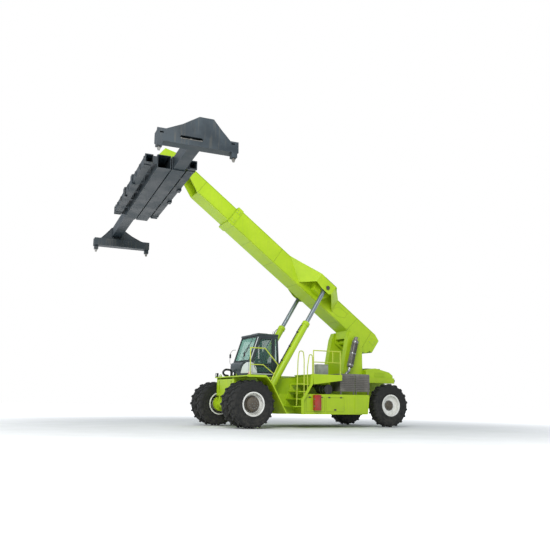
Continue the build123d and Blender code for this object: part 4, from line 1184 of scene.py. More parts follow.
# ---- boom
@dataclass
class Boom(Dresser):
    """Wing plates, weld beads, covers, lifting eyes and pin caps of the two boom sections."""

    half: float = 0.45
    low: float = 0.24
    high: float = 0.98
    end: float = 7.2
    inner_half: float = 0.39
    wing_top: float = 0.962

    def wings(self) -> None:
        """Tapering brackets that carry the lift cylinders' upper eyes."""
        build = Builder()
        top = self.wing_top
        front = [(4.3, 0.452, 0.972), (3.38, 0.452, 0.37), (3.02, 1.178, 0.57), (3.02, 1.178, top)]
        rear = [(1.5, 0.452, 0.972), (1.46, 0.452, 0.36), (2.2, 1.178, 0.58), (2.2, 1.178, top)]
        lid = [(1.5, 0.44, top), (4.3, 0.44, top), (3.03, 1.19, top), (2.2, 1.19, top)]
        cheek = [(2.2, 1.172, top), (3.03, 1.172, top), (3.02, 1.172, 0.57), (2.7, 1.172, 0.5),
                 (2.3, 1.172, 0.5), (2.2, 1.172, 0.58)]
        for side in (-1, 1):
            at = on_side(on_boom, side)
            build.skin(at, front, (0.02, 0, 0.012), 0.004)
            build.skin(at, rear, (0.02, 0, 0), 0.004)
            build.skin(at, lid, (0, 0, 0.022), 0.004)
            build.skin(at, cheek, (0, 0.021, 0), 0.004)
        self.make(build, "boom_wing_plates", "lime_paint", "boom")

    def seams(self) -> None:
        """Weld beads round the tail section, along the box's corners and at the wings."""
        build = Builder()
        for y in (-self.half, self.half):
            out = 0.002 if y > 0 else -0.002
            for line in (
                [(-0.56, -0.02), (-0.56, 0.94)],
                [(0.46, 0.25), (0.4, 0.6), (0.33, 0.96)],
                [(0.42, 0.262), (4.6, 0.262), (self.end - 0.3, 0.262)],
                [(-0.7, 0.955), (4.6, 0.955), (self.end - 0.3, 0.955)],
                [(4.75, 0.262), (4.75, 0.955)],
            ):
                build.tube([on_boom(a, y + out, c) for a, c in line], 0.005, 6)
            patch = [(1.62, 0.42), (1.1, 0.42), (0.82, 0.6), (0.82, 0.8), (1.28, 0.8)]
            build.tube([on_boom(a, y + out, c) for a, c in [*patch, patch[0]]], 0.004, 6)
        for along in (1.0, 2.2, 3.4, 4.75, 6.0):
            build.tube([on_boom(along, y, self.low - 0.001) for y in (-0.44, 0, 0.44)], 0.005, 6)
        self.make(build, "boom_weld_beads", "lime_shadow", "boom")

    def covers(self) -> None:
        """Bolted wear-pad covers by the collar and inspection covers at the tail."""
        plates, bolts = Builder(), Builder()
        thick = 0.012
        for side in (-1, 1):
            for along, across, a, b, proud in (
                (self.end - 0.13, 0.40, 0.09, 0.07, 0.025),
                (self.end - 0.13, 0.82, 0.09, 0.07, 0.025),
                (-0.82, 0.62, 0.13, 0.1, 0.0),
            ):
                y = side * (self.half + proud)
                plates.cuboid(on_boom, (along - a, y, across - b),
                              (along + a, y + side * thick, across + b))
                spots = [(along + s * (a - 0.022), across + t * (b - 0.022))
                         for s in (-1, 1) for t in (-1, 1)]
                bolts.bolts([on_boom(u, y + side * thick, v) for u, v in spots],
                            (0, side, 0), 0.011)
        self.make(plates, "wear_pad_covers", "lime_paint", "boom")
        self.make(bolts, "boom_cover_bolts", "bare_steel", "boom")

    def fittings(self) -> None:
        """Lifting eyes on top and weld beads round the collar's mouth."""
        eyes, beads = Builder(), Builder()
        for y in (-0.3, 0.3):
            x, z = 2.7, self.high
            eyes.cuboid(on_boom, (x - 0.06, y - 0.045, z - 0.002), (x + 0.06, y + 0.045, z + 0.012))
            eyes.tube([on_boom(x + 0.045 * math.cos(a), y, z + 0.04 + 0.04 * math.sin(a))
                       for a in (math.pi * k / 8 for k in range(-1, 10))], 0.011, 8)
        self.make(eyes, "boom_lifting_eyes", "bare_steel", "boom")
        mouth = self.end + 0.004
        for y in (-0.44, 0.44):
            beads.tube([on_boom(mouth, y, c) for c in (0.3, 0.92)], 0.006, 6)
        for c in (0.246, 0.974):
            beads.tube([on_boom(mouth, y, c) for y in (-0.44, 0.44)], 0.006, 6)
        self.make(beads, "collar_edge_bead", "lime_shadow", "boom")

    def inner(self) -> None:
        """Weld beads on the inner section, and the head pin's end caps."""
        build = Builder()
        for y in (-self.inner_half, self.inner_half):
            out = 0.002 if y > 0 else -0.002
            top = [(7.3, 0.895), (9.0, 0.895), (HEAD_ALONG - 0.3, 0.895)]
            build.tube([on_boom(a, y + out, c) for a, c in top], 0.005, 6)
            build.tube([on_boom(a, y + out, 0.325) for a in (7.3, 8.0, 8.78)], 0.005, 6)
            build.tube([on_boom(8.8, y + out, c) for c in (0.32, 0.6, 0.9)], 0.005, 6)
        self.make(build, "inner_boom_beads", "lime_shadow", "boom_inner")
        caps, bolts = Builder(), Builder()
        for side in (-1, 1):
            centre = on_boom(HEAD_ALONG, side * self.inner_half, 0.0)
            caps.lathe([(0.0, 0.0), (0.13, 0.0), (0.13, 0.02), (0.122, 0.028), (0.08, 0.03),
                        (0.075, 0.043), (0.0, 0.043)], centre, (0, side, 0), 32)
            bolts.bolt_circle(centre, side, 0.105, 0.028, 8, 0.012)
        self.make(caps, "head_pin_caps", "axle_iron", "boom_inner")
        self.make(bolts, "head_pin_bolts", "bare_steel", "boom_inner")

    def dress(self) -> None:
        """Makes all the boom's pieces."""
        self.wings()
        self.seams()
        self.covers()
        self.fittings()
        self.inner()


@dataclass
class LiftCylinders(Dresser):
    """Glands, feed pipes and pin plates of the two lift cylinders."""

    length: float = 3.3
    eye_y: float = 1.215

    def barrel(self, name: str, side: int) -> None:
        """Dresses one barrel.

        Args:
            name: left or right.
            side: 1 or -1.
        """
        at = on_cylinder(side)
        along = heading(at, 0, 0, 1)
        body = f"lift_barrel_{name}"
        gland, bolts, pipe = Builder(), Builder(), Builder()
        gland.lathe([(0.09, 0.0), (0.13, 0.0), (0.134, 0.006), (0.134, 0.018), (0.12, 0.026),
                     (0.096, 0.03), (0.0905, 0.045), (0.0875, 0.045)],
                    at(0, 0, self.length), along, 40)
        gland.lathe([(0.151, -0.128), (0.156, -0.12), (0.156, -0.1), (0.151, -0.092)],
                    at(0, 0, self.length), along, 40)
        for z in (0.32, 0.36):
            gland.lathe([(0.135, -0.012), (0.142, -0.006), (0.142, 0.006), (0.135, 0.012)],
                        at(0, 0, z), along, 40)
        self.make(gland, f"lift_gland_{name}", "lime_paint", body)
        bolts.bolts([at(0.118 * math.cos(a), 0.118 * math.sin(a), self.length + 0.016)
                     for a in turns(10)], along, 0.01)
        self.make(bolts, f"lift_gland_bolts_{name}", "bare_steel", body)
        run = [(0.15, 0.5), (0.172, 0.56), (0.176, 0.7), (0.176, 1.8), (0.176, 2.9), (0.174, 3.02),
               (0.155, 3.09), (0.13, 3.12)]
        pipe.tube([at(0.03, ahead, z) for ahead, z in run], 0.016, 10)
        for z in (0.8, 1.45, 2.1, 2.75):
            pipe.cuboid(at, (0.0, 0.12, z - 0.02), (0.06, 0.197, z + 0.02))
        pipe.cuboid(at, (-0.01, 0.1, 0.44), (0.07, 0.175, 0.53))
        self.make(pipe, f"lift_feed_pipe_{name}", "hose_rubber", body)

    def eyes(self, name: str, side: int) -> None:
        """Adds the pin plate and its bolts at the upper eye.

        Args:
            name: left or right.
            side: 1 or -1.
        """
        steel, bolts = Builder(), Builder()
        centre = on_boom(LIFT_EYE_ALONG, side * self.eye_y, LIFT_EYE_ACROSS)
        steel.lathe([(0.0, 0.0), (0.085, 0.0), (0.085, 0.012), (0.078, 0.02), (0.03, 0.022),
                     (0.0, 0.022)], centre, (0, side, 0), 28)
        bolts.bolt_circle(centre, side, 0.055, 0.021, 4, 0.011, math.pi / 4)
        self.make(steel, f"lift_pin_plate_{name}", "axle_iron", "boom")
        self.make(bolts, f"lift_pin_bolts_{name}", "bare_steel", "boom")

    def dress(self) -> None:
        """Makes the pieces of both cylinders."""
        for name, side in SIDES:
            self.barrel(name, side)
            self.eyes(name, side)


# ---- cab
@dataclass
class Cab(Dresser):
    """Window seals, wiper, mirrors, roof fittings, light panels, grab bars and marker lamp."""

    half: float = 0.75
    panel_y: float = 0.7505
    door: tuple[Pair, ...] = (
        (-0.536, 1.996), (-0.536, 2.44), (-0.851, 3.364), (-1.434, 3.364), (-1.434, 1.996),
    )
    window: tuple[Pair, ...] = (
        (-0.6, 2.33), (-0.6, 2.46), (-0.88, 3.3), (-1.37, 3.3), (-1.37, 2.33),
    )
    low_window: tuple[Pair, ...] = (
        (-0.61, 2.27), (-1.37, 2.27), (-1.37, 2.03), (-0.78, 2.03),
    )

    def loop(
        self, build: Builder, corners: Sequence[Pair], y: float, radius: float
    ) -> None:
        """Adds a rubber seal along a side window's edge.

        Args:
            build: where it goes.
            corners: the opening's corners as station and height.
            y: the seal's plane.
            radius: half the seal's thickness.
        """
        build.bent_tube(from_axle, [(x, y, z) for x, z in corners], 0.035, radius, closed=True)

    def seals(self) -> None:
        """Seals of the doors and their windows, of the quarter panes and of the windscreen."""
        for name, side in SIDES:
            build = Builder()
            for opening in (self.window, self.low_window):
                self.loop(build, opening, side * (self.half + 0.001), 0.011)
            self.make(build, f"door_window_seals_{name}", "hose_rubber", f"cab_door_{name}")
        build = Builder()
        for side in (-1, 1):
            self.loop(build, self.door, side * (self.half - 0.004), 0.009)
            quarter = [(-1.49, 2.45), (-1.49, 3.34), (-1.56, 3.34), (-1.595, 2.45)]
            self.loop(build, quarter, side * (self.half + 0.001), 0.009)
        screen = [(self.screen(z) + 0.002, y, z)
                  for y, z in ((-0.66, 2.48), (0.66, 2.48), (0.66, 3.37), (-0.66, 3.37))]
        build.bent_tube(from_axle, screen, 0.05, 0.012, closed=True)
        self.make(build, "cab_window_seals", "hose_rubber")

    def screen(self, z: float) -> float:
        """Station of the windscreen's outer face.

        Args:
            z: height.

        Returns:
            Distance ahead of the drive axle.
        """
        return -0.43 - (z - 2.43) * 0.347

    def wiper(self) -> None:
        """Wiper motor cover, arm and blade on the windscreen."""
        build = Builder()
        foot = from_axle(self.screen(2.46) + 0.03, 0.1, 2.452)
        build.lathe([(0, 0), (0.035, 0), (0.035, 0.02), (0.02, 0.035), (0, 0.035)],
                    foot, (1, 0, 0.35), 16)
        tip = from_axle(self.screen(3.1) + 0.05, 0.3, 3.1)
        build.tube([foot + Vector((0.03, 0, 0.01)), from_axle(self.screen(2.7) + 0.055, 0.17, 2.7),
                    tip], 0.008, 6)
        ends = [from_axle(self.screen(z) + 0.025, y, z) for y, z in ((0.2, 2.78), (0.4, 3.32))]
        build.tube([ends[0], (ends[0] + ends[1]) / 2 + Vector((0.006, 0, 0)), ends[1]], 0.011, 6)
        self.make(build, "windscreen_wiper", "black_plastic")

    def mirrors(self) -> None:
        """Small mirrors on thin bent arms ahead of the cab's front posts."""
        for name, side in SIDES:
            at = on_side(from_axle, side)
            arm, glass = Builder(), Builder()
            arm.bent_tube(at, [(-0.3, 0.62, 2.32), (-0.225, 0.64, 2.42), (-0.25, 0.65, 2.8),
                               (-0.36, 0.66, 2.93), (-0.5, 0.68, 2.93)], 0.09, 0.0085, steps=6)
            arm.cuboid(around(at(-0.245, 0.66, 2.68)), (-0.024, -0.05, -0.08),
                       (0.014, 0.05, 0.08), 0.01)
            self.make(arm, f"mirror_{name}", "black_plastic")
            glass.cuboid(around(at(-0.271, 0.66, 2.68)), (-0.003, -0.042, -0.07),
                         (0.003, 0.042, 0.07), 0.002)
            self.make(glass, f"mirror_glass_{name}", "chrome_rod")

    def roof(self) -> None:
        """Aerial loop, ventilation cowl and a drip rail on the roof."""
        rail, loop, cowl = Builder(), Builder(), Builder()
        rim = [(-1.64, -0.74, 3.432), (-0.76, -0.74, 3.432), (-0.76, 0.74, 3.432),
               (-1.64, 0.74, 3.432)]
        rail.bent_tube(from_axle, rim, 0.05, 0.014, 6, closed=True)
        self.make(rail, "roof_drip_rail", "black_plastic")
        loop.bent_tube(from_axle, [(-1.5, 0.5, 3.498), (-1.52, 0.5, 3.62), (-1.6, 0.5, 3.62),
                                   (-1.62, 0.5, 3.498)], 0.03, 0.008)
        self.make(loop, "roof_loop", "bare_steel")
        cowl.cuboid(from_axle, (-1.4, -0.32, 3.497), (-0.98, 0.32, 3.56), 0.02)
        for k in range(9):
            x = -1.36 + 0.042 * k
            cowl.cuboid(from_axle, (x, -0.27, 3.558), (x + 0.018, 0.27, 3.566), 0.002)
        self.make(cowl, "roof_cowl", "cab_paint")

    def nose_arc(self, first: int, last: int) -> list[Pair]:
        """Points of the light panel's rounded edge, as station and height.

        Args:
            first: the first of twenty steps of a half turn, from the top.
            last: the last step.

        Returns:
            The points.
        """
        angles = (math.pi / 20 * k for k in range(first, last + 1))
        return [(-0.45 - 0.3 * math.sin(a), 1.985 + 0.43 * math.cos(a)) for a in angles]

    def panel(self, build: Builder, at: Place, corners: Sequence[Pair], thick: float) -> None:
        """Adds a flat panel on the cab's side.

        Args:
            build: where it goes.
            at: maps station, outwards and height to the model's frame.
            corners: its outline as station and height.
            thick: its thickness.
        """
        outline = [(x, self.panel_y, z) for x, z in corners]
        build.skin(at, outline, (0, thick, 0), 0.001)

    def trim(self) -> None:
        """Light panels on the nose's corners, the posts, the sills and the doors."""
        seam = -0.527
        nose = [(-0.392, 1.985), (-0.392, 2.395), (-0.45, 2.415), *self.nose_arc(1, 10)]
        nose = [p for p in nose if p[0] > seam] + [(seam, 2.4), (seam, 1.985)]
        post = [(-0.435, 2.44), (-0.475, 2.44), (-0.795, 3.37), (-0.765, 3.37)]
        flank = [(-0.386, self.panel_y, 1.985), (-0.386, self.panel_y, 2.39),
                 (-0.335, 0.678, 2.385), (-0.28, 0.598, 2.33), (-0.235, 0.534, 2.22),
                 (-0.205, 0.49, 2.06), (-0.2, 0.484, 1.985)]
        sill = [(-1.66, 1.953), (-0.4, 1.953), (-0.4, 1.983), (-1.66, 1.983)]
        edge = [(-0.543, 1.998), (-0.543, 2.395), *self.nose_arc(3, 9), (-0.75, 1.998)]
        panels = Builder()
        for name, side in reversed(SIDES):
            at = on_side(from_axle, side)
            self.panel(panels, at, nose, 0.005)
            self.panel(panels, at, post, 0.003)
            panels.skin(at, flank, (0.005, 0.0035, 0), 0.001)
            self.panel(panels, at, sill, 0.005)
            door = Builder()
            self.panel(door, at, edge, 0.004)
            self.make(door, f"door_panel_{name}", "grey_panel", f"cab_door_{name}")
        self.make(panels, "nose_panels", "grey_panel")

    def grab_bars(self) -> None:
        """An upright bar on each door."""
        bar = [(-1.395, 0.752, 2.45), (-1.395, 0.81, 2.47), (-1.395, 0.81, 3.05),
               (-1.395, 0.752, 3.07)]
        for name, side in SIDES:
            grab = Builder()
            grab.bent_tube(on_side(from_axle, side), bar, 0.03, 0.011)
            self.make(grab, f"door_grab_bar_{name}", "black_plastic", f"cab_door_{name}")

    def lamps(self) -> None:
        """Marker lamp on the deck ahead of the nose."""
        red = Builder()
        red.lathe([(0, 0), (0.05, 0), (0.05, 0.03), (0.03, 0.04), (0.03, 0.07), (0.055, 0.08),
                   (0.055, 0.15), (0.04, 0.17), (0, 0.175)],
                  from_axle(-0.34, 0.98, 1.861), (0, 0, 1), 20)
        self.make(red, "nose_marker_lamp", "red_lens")

    def dress(self) -> None:
        """Makes all the cab's outer pieces."""
        self.seals()
        self.wiper()
        self.mirrors()
        self.roof()
        self.trim()
        self.grab_bars()
        self.lamps()


# ---- chassis
@dataclass
class Decks(Dresser):
    """Anti-slip bars, hand loops, rail feet, step gratings, and the nose's lamps and pipe."""

    rail_y: float = 2.045
    deck_z: float = 1.86
    platform_z: float = 1.97
    pitch: float = 0.075
    pipe_y: float = -0.22
    step_places: tuple[Pair, ...] = (
        (-1.7, 0.8), (-1.8, 1.07), (-1.9, 1.34), (-2.01, 1.6),
    )

    def tread(self) -> None:
        """Raised lozenges on the floor plates, in rows that alternate in slant."""
        build = Builder()
        low, high = self.deck_z, self.platform_z
        areas = (
            (-0.45, 0.24, 0.95, 2.02, low), (-0.16, 0.24, -0.88, 0.9, low),
            (-3.68, -2.48, 0.66, 1.98, high), (-3.68, -2.48, -2.02, -0.66, high),
            (-4.4, -1.8, -0.58, 0.3, low),
        )
        for x0, x1, y0, y1, z in areas:
            for i in range(int((x1 - x0) / self.pitch)):
                for j in range(int((y1 - y0) / self.pitch)):
                    x, y = x0 + self.pitch * (i + 0.5), y0 + self.pitch * (j + 0.5)
                    self.lozenge(build, x, y, z, 1 if (i + j) % 2 else -1)
        self.make(build, "deck_tread_bars", "lime_paint")

    def lozenge(self, build: Builder, x: float, y: float, z: float, lean: int) -> None:
        """Adds one raised bar.

        Args:
            build: where it goes.
            x: station from the drive axle.
            y: place across.
            z: the plate's height.
            lean: which way it slants.
        """
        along = Vector((0.7, 0.7 * lean, 0)) * 0.026
        side = Vector((-0.7 * lean, 0.7, 0)) * 0.006
        middle = from_axle(x, y, z)
        top = Vector((0, 0, 0.003))
        rim = [middle - along, middle + side, middle + along, middle - side]
        low = [build.mesh.verts.new(p) for p in rim]
        high = [build.mesh.verts.new(middle + (p - middle) * 0.6 + top) for p in rim]
        for k in range(4):
            n = (k + 1) % 4
            build.mesh.faces.new([low[k], low[n], high[n], high[k]])
        build.mesh.faces.new(high)

    def loops(self) -> None:
        """Two bent hand loops beside the steps."""
        build = Builder()
        y = self.rail_y
        for line in (
            [(-1.735, 0.82), (-1.79, 2.5), (-1.84, 2.8), (-2.01, 2.8), (-2.05, 2.5),
             (-2.05, 1.16)],
            [(-2.2, 1.42), (-2.19, 2.2), (-2.27, 2.68), (-2.39, 2.68), (-2.41, 2.5),
             (-2.41, 1.96)],
        ):
            build.bent_tube(from_axle, [(x, y, z) for x, z in line], 0.12, 0.019, 10)
        build.tube([from_axle(-1.76, y, 1.6), from_axle(-2.05, y, 1.6)], 0.015, 8)
        self.make(build, "step_hand_loops", "yellow_rail")

    def sockets(self) -> None:
        """Flanged feet with bolts under each rail post."""
        plates, bolts = Builder(), Builder()
        feet = [(0.14, 2.02, self.deck_z), (-2.48, 2.0, self.platform_z),
                (-3.67, 2.0, self.platform_z)]
        for x, y, z in feet:
            plates.cuboid(from_axle, (x - 0.05, y - 0.05, z), (x + 0.05, y + 0.035, z + 0.01))
            plates.lathe([(0.021, 0.05), (0.027, 0.045), (0.03, 0.01)], from_axle(x, y, z),
                         (0, 0, 1), 16)
            bolts.bolts([from_axle(x + a, y - 0.03, z + 0.01) for a in (-0.036, 0.036)],
                        (0, 0, 1), 0.009)
        self.make(plates, "rail_feet", "yellow_rail")
        self.make(bolts, "rail_foot_bolts", "bare_steel")

    def gratings(self) -> None:
        """Open grating in each step."""
        build = Builder()
        for x, z in self.step_places:
            for k in range(7):
                bar = x - 0.21 + 0.036 * k
                build.cuboid(from_axle, (bar, 1.285, z - 0.008), (bar + 0.008, 1.995, z + 0.001),
                             0.001)
            for k in range(12):
                y = 1.3 + 0.06 * k
                build.cuboid(from_axle, (x - 0.22, y, z - 0.008), (x + 0.02, y + 0.006, z - 0.001),
                             0.001)
        self.make(build, "step_gratings", "bare_steel")

    def nose(self) -> None:
        """Lamps on the deck's edge and a bent air pipe before the cab."""
        shell, lens, pipe = Builder(), Builder(), Builder()
        for side in (-1, 1):
            centre = from_axle(0.251, side * 0.82, 1.935)
            shell.lathe([(0.074, 0.0), (0.078, 0.012), (0.07, 0.02), (0.064, 0.012)],
                        centre, (1, 0, 0), 28)
            lens.lathe([(0.0, 0.016), (0.04, 0.013), (0.0655, 0.004)], centre, (1, 0, 0), 28)
        self.make(shell, "deck_lamp_bezels", "black_plastic")
        self.make(lens, "deck_lamp_lenses", "lamp_plastic")
        hook = [(-0.12, 1.88), (-0.12, 2.12), (0.13, 2.14), (0.24, 2.03), (0.17, 1.915), (0.0, 1.9)]
        pipe.bent_tube(from_axle, [(x, self.pipe_y, z) for x, z in hook], 0.09, 0.04, 14, steps=8)
        pipe.lathe([(0.075, 0.0), (0.075, 0.014), (0.055, 0.018), (0.052, 0.06), (0.042, 0.062)],
                   from_axle(-0.12, self.pipe_y, self.deck_z), (0, 0, 1), 20)
        self.make(pipe, "nose_air_pipe", "hose_rubber")

    def dress(self) -> None:
        """Makes the decks' pieces."""
        self.tread()
        self.loops()
        self.sockets()
        self.gratings()
        self.nose()


@dataclass
class SidePanels(Dresser):
    """Lids, latches and hinges of the lockers, and the air cleaner's and cabinet's fittings."""

    edge_y: float = 1.95
    red_y: float = 2.08
    drum: Point = (-3.19, 1.23, 1.425)

    def lids(self) -> None:
        """Door outlines with hinges and latches on both long lockers."""
        seams, metal = Builder(), Builder()
        for side in (-1, 1):
            y = side * (self.edge_y + 0.0015)
            for x0, x1 in ((-3.0, -2.2), (-3.86, -3.06)):
                rim = [(x0, y, 0.6), (x1, y, 0.6), (x1, y, 1.12), (x0, y, 1.12)]
                seams.bent_tube(from_axle, rim, 0.05, 0.0045, 6, closed=True)
                for x in (x0 + 0.14, x1 - 0.14):
                    metal.cuboid(from_axle, (x - 0.045, y, 1.1),
                                 (x + 0.045, y + side * 0.012, 1.145))
                x = (x0 + x1) / 2
                metal.cuboid(from_axle, (x - 0.05, y, 0.64), (x + 0.05, y + side * 0.008, 0.7))
                handle = [(x + a, y + side * out, 0.67) for a, out in
                          ((-0.03, 0.006), (-0.03, 0.026), (0.03, 0.026), (0.03, 0.006))]
                metal.bent_tube(from_axle, handle, 0.01, 0.005, 6)
        self.make(seams, "locker_seams", "lime_shadow")
        self.make(metal, "locker_latches", "axle_iron")

    def extinguisher(self) -> None:
        """Lid, hinges and latches on the red locker."""
        lid, metal = Builder(), Builder()
        y = self.red_y
        lid.cuboid(from_axle, (-2.765, y - 0.002, 0.645), (-2.485, y + 0.018, 1.215), 0.012)
        lid.cuboid(from_axle, (-2.73, y + 0.016, 0.7), (-2.52, y + 0.024, 1.16), 0.01)
        self.make(lid, "extinguisher_lid", "red_paint")
        for z in (0.8, 1.06):
            metal.cuboid(from_axle, (-2.49, y - 0.05, z - 0.03), (-2.478, y + 0.022, z + 0.03))
            metal.tube([from_axle(-2.772, y - 0.01, z - 0.035),
                        from_axle(-2.772, y - 0.01, z + 0.035)], 0.008, 8)
        self.make(metal, "extinguisher_latches", "bare_steel")

    def air_cleaner(self) -> None:
        """Bands, clips, a dust valve and the duct to the engine."""
        drum, bands, duct = Builder(), Builder(), Builder()
        centre = from_axle(*self.drum)
        drum.lathe([(0.0, 0.62), (0.09, 0.622), (0.1, 0.636), (0.15, 0.64), (0.168, 0.655),
                    (0.18, 0.66), (0.182, 0.6), (0.17, 0.595), (0.167, 0.45)],
                   centre, (0, 1, 0), 48)
        for y in (0.12, 0.24, 0.36):
            drum.lathe([(0.165, y - 0.02), (0.169, y - 0.012), (0.169, y + 0.012),
                        (0.165, y + 0.02)], centre, (0, 1, 0), 48)
        drum.tube([centre + Vector((0.05, 0.64, -0.1)), centre + Vector((0.07, 0.655, -0.15)),
                   centre + Vector((0.09, 0.66, -0.22))], 0.03, 10)
        self.make(drum, "air_cleaner_ribs", "black_plastic")
        clip = ((0.172, 0.55), (0.187, 0.6), (0.18, 0.655))
        for a in turns(6):
            bands.tube([centre + round_axle(r, a, y) for r, y in clip], 0.005, 6)
        for y in (0.3, 0.5):
            bands.lathe([(0.166, y - 0.012), (0.1705, y - 0.01), (0.1705, y + 0.01),
                         (0.166, y + 0.012)], centre, (0, 1, 0), 48)
        self.make(bands, "air_cleaner_bands", "bare_steel")
        run = [(1.235, 1.43), (1.1, 1.43), (0.95, 1.6), (0.64, 1.6)]
        duct.bent_tube(from_axle, [(self.drum[0], y, z) for y, z in run], 0.12, 0.085, 18, steps=8)
        self.make(duct, "air_duct", "hose_rubber")

    def valves(self) -> None:
        """Door, lid, louvres and handle of the grey cabinet."""
        build, metal = Builder(), Builder()
        build.cuboid(from_axle, (-3.985, 0.598, 1.9), (-3.535, 0.612, 2.4), 0.006)
        build.cuboid(from_axle, (-4.01, 0.32, 2.415), (-3.51, 0.62, 2.435), 0.008)
        for k in range(7):
            z = 2.0 + 0.035 * k
            build.cuboid(from_axle, (-3.93, 0.61, z), (-3.72, 0.618, z + 0.016), 0.003)
        self.make(build, "valve_cabinet_door", "grey_paint")
        metal.tube([from_axle(-3.6, 0.612, 2.1), from_axle(-3.6, 0.632, 2.11),
                    from_axle(-3.6, 0.632, 2.2), from_axle(-3.6, 0.612, 2.21)], 0.006, 8)
        self.make(metal, "valve_cabinet_handle", "bare_steel")

    def dress(self) -> None:
        """Makes the sides' pieces."""
        self.lids()
        self.extinguisher()
        self.air_cleaner()
        self.valves()


@dataclass
class Exhaust(Dresser):
    """Silencer with black discs of painted shade for its perforated guard's holes, clamps and pipes,
    and the ribbed heat shield.
    """

    low: Point = (-4.79, 0.97, 2.33)
    high: Point = (-5.1, 0.97, 3.46)
    radius: float = 0.125
    foot_z: float = 1.36
    sheet_z: float = 1.98
    ribs: int = 9

    def silencer(self) -> None:
        """Can, bands, outlet and the curved pipe below, in place of the plain stack."""
        build, bands = Builder(), Builder()
        low, high = from_axle(*self.low), from_axle(*self.high)
        run = high - low
        length = run.length
        build.lathe([(0.0, 0.0), (0.07, 0.002), (0.11, 0.02), (self.radius, 0.05),
                     (self.radius, length - 0.05), (0.11, length - 0.02), (0.07, length)],
                    low, run, 40)
        build.lathe([(0.07, 0.0), (0.07, 0.1), (0.064, 0.1), (0.064, 0.0)], high, run, 28)
        can = self.make(build, "silencer_can", "shield_sheet")
        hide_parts("exhaust_stack")
        for part in (0.09, 0.5, 0.91):
            bands.lathe([(self.radius, -0.02), (self.radius + 0.006, -0.018),
                         (self.radius + 0.006, 0.018), (self.radius, 0.02)],
                        low + run * part, run, 40)
        bands.tube(
            rounded_line([
                low + run.normalized() * 0.01, low - run.normalized() * 0.14,
                from_axle(-4.64, 0.97, 2.1), from_axle(-4.61, 0.97, 2.0),
            ], 0.09, steps=7),
            0.058, 18,
        )
        for part in (0.2, 0.8):
            bands.cuboid(around(low + run * part), (-0.03, -0.22, -0.03), (0.03, -0.11, 0.03))
        self.make(bands, "silencer_bands", "bare_steel")
        self.guard(low, run)

    def guard(self, low: Vector, run: Vector) -> None:
        """Black discs on the can, facing outwards, as painted shade of a half guard's punched holes.

        Args:
            low: the can's lower end.
            run: vector to its upper end.
        """
        build = Builder()
        out = Vector((0, 1, 0))
        side = run.normalized().cross(out).normalized()
        reach = self.radius + 0.004
        rows = 26
        for i in range(rows):
            for j in range(7):
                a = math.radians(-54 + 18 * j)
                normal = out * math.cos(a) + side * math.sin(a)
                spot = low + run * (0.13 + 0.74 * (i + 0.5 * (j % 2)) / rows) + normal * reach
                build.lathe([(0.0, 0.0), (0.014, 0.0), (0.014, 0.0015)], spot, normal, 7)
        # painted shade: black discs stand for the dark inside the guard's holes
        self.make(build, "silencer_guard_hole_shade", "black_plastic")

    def shield(self) -> None:
        """Two ribbed sheets on feet, in place of the plain box."""
        build, bolts = Builder(), Builder()
        foot, sheet = self.foot_z, self.sheet_z
        pitch = (sheet - foot) / self.ribs
        outer = []
        for k in range(self.ribs):
            z = foot + pitch * k
            outer += [(1.9, z), (1.9, z + pitch * 0.3), (1.918, z + pitch * 0.5),
                      (1.918, z + pitch * 0.85)]
        outer += [(1.9, sheet), (1.89, 2.03), (1.2, 2.03), (1.2, 2.015), (1.875, 2.015),
                  (1.885, sheet), (1.885, foot)]
        for x0, x1 in ((-5.08, -4.42), (-4.4, -3.72)):
            build.skin(from_axle, [(x0, y, z) for y, z in outer], (x1 - x0, 0, 0))
            for x in (x0 + 0.05, x1 - 0.05):
                bolts.bolts([from_axle(x, 1.902, z) for z in (1.38, 1.975)], (0, 1, 0), 0.011)
                build.cuboid(from_axle, (x - 0.02, 1.84, 1.24), (x + 0.02, 1.882, 1.37))
        for x in (-5.08, -3.732):
            end = [(x, 1.2, foot), (x, 1.88, foot), (x, 1.88, 2.02), (x, 1.2, 2.02)]
            build.skin(from_axle, end, (0.012, 0, 0))
        piece = self.make(build, "ribbed_heat_shield", "shield_sheet")
        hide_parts("heat_shield")
        self.make(bolts, "heat_shield_bolts", "bare_steel")

    def dress(self) -> None:
        """Makes the exhaust's pieces."""
        self.silencer()
        self.shield()


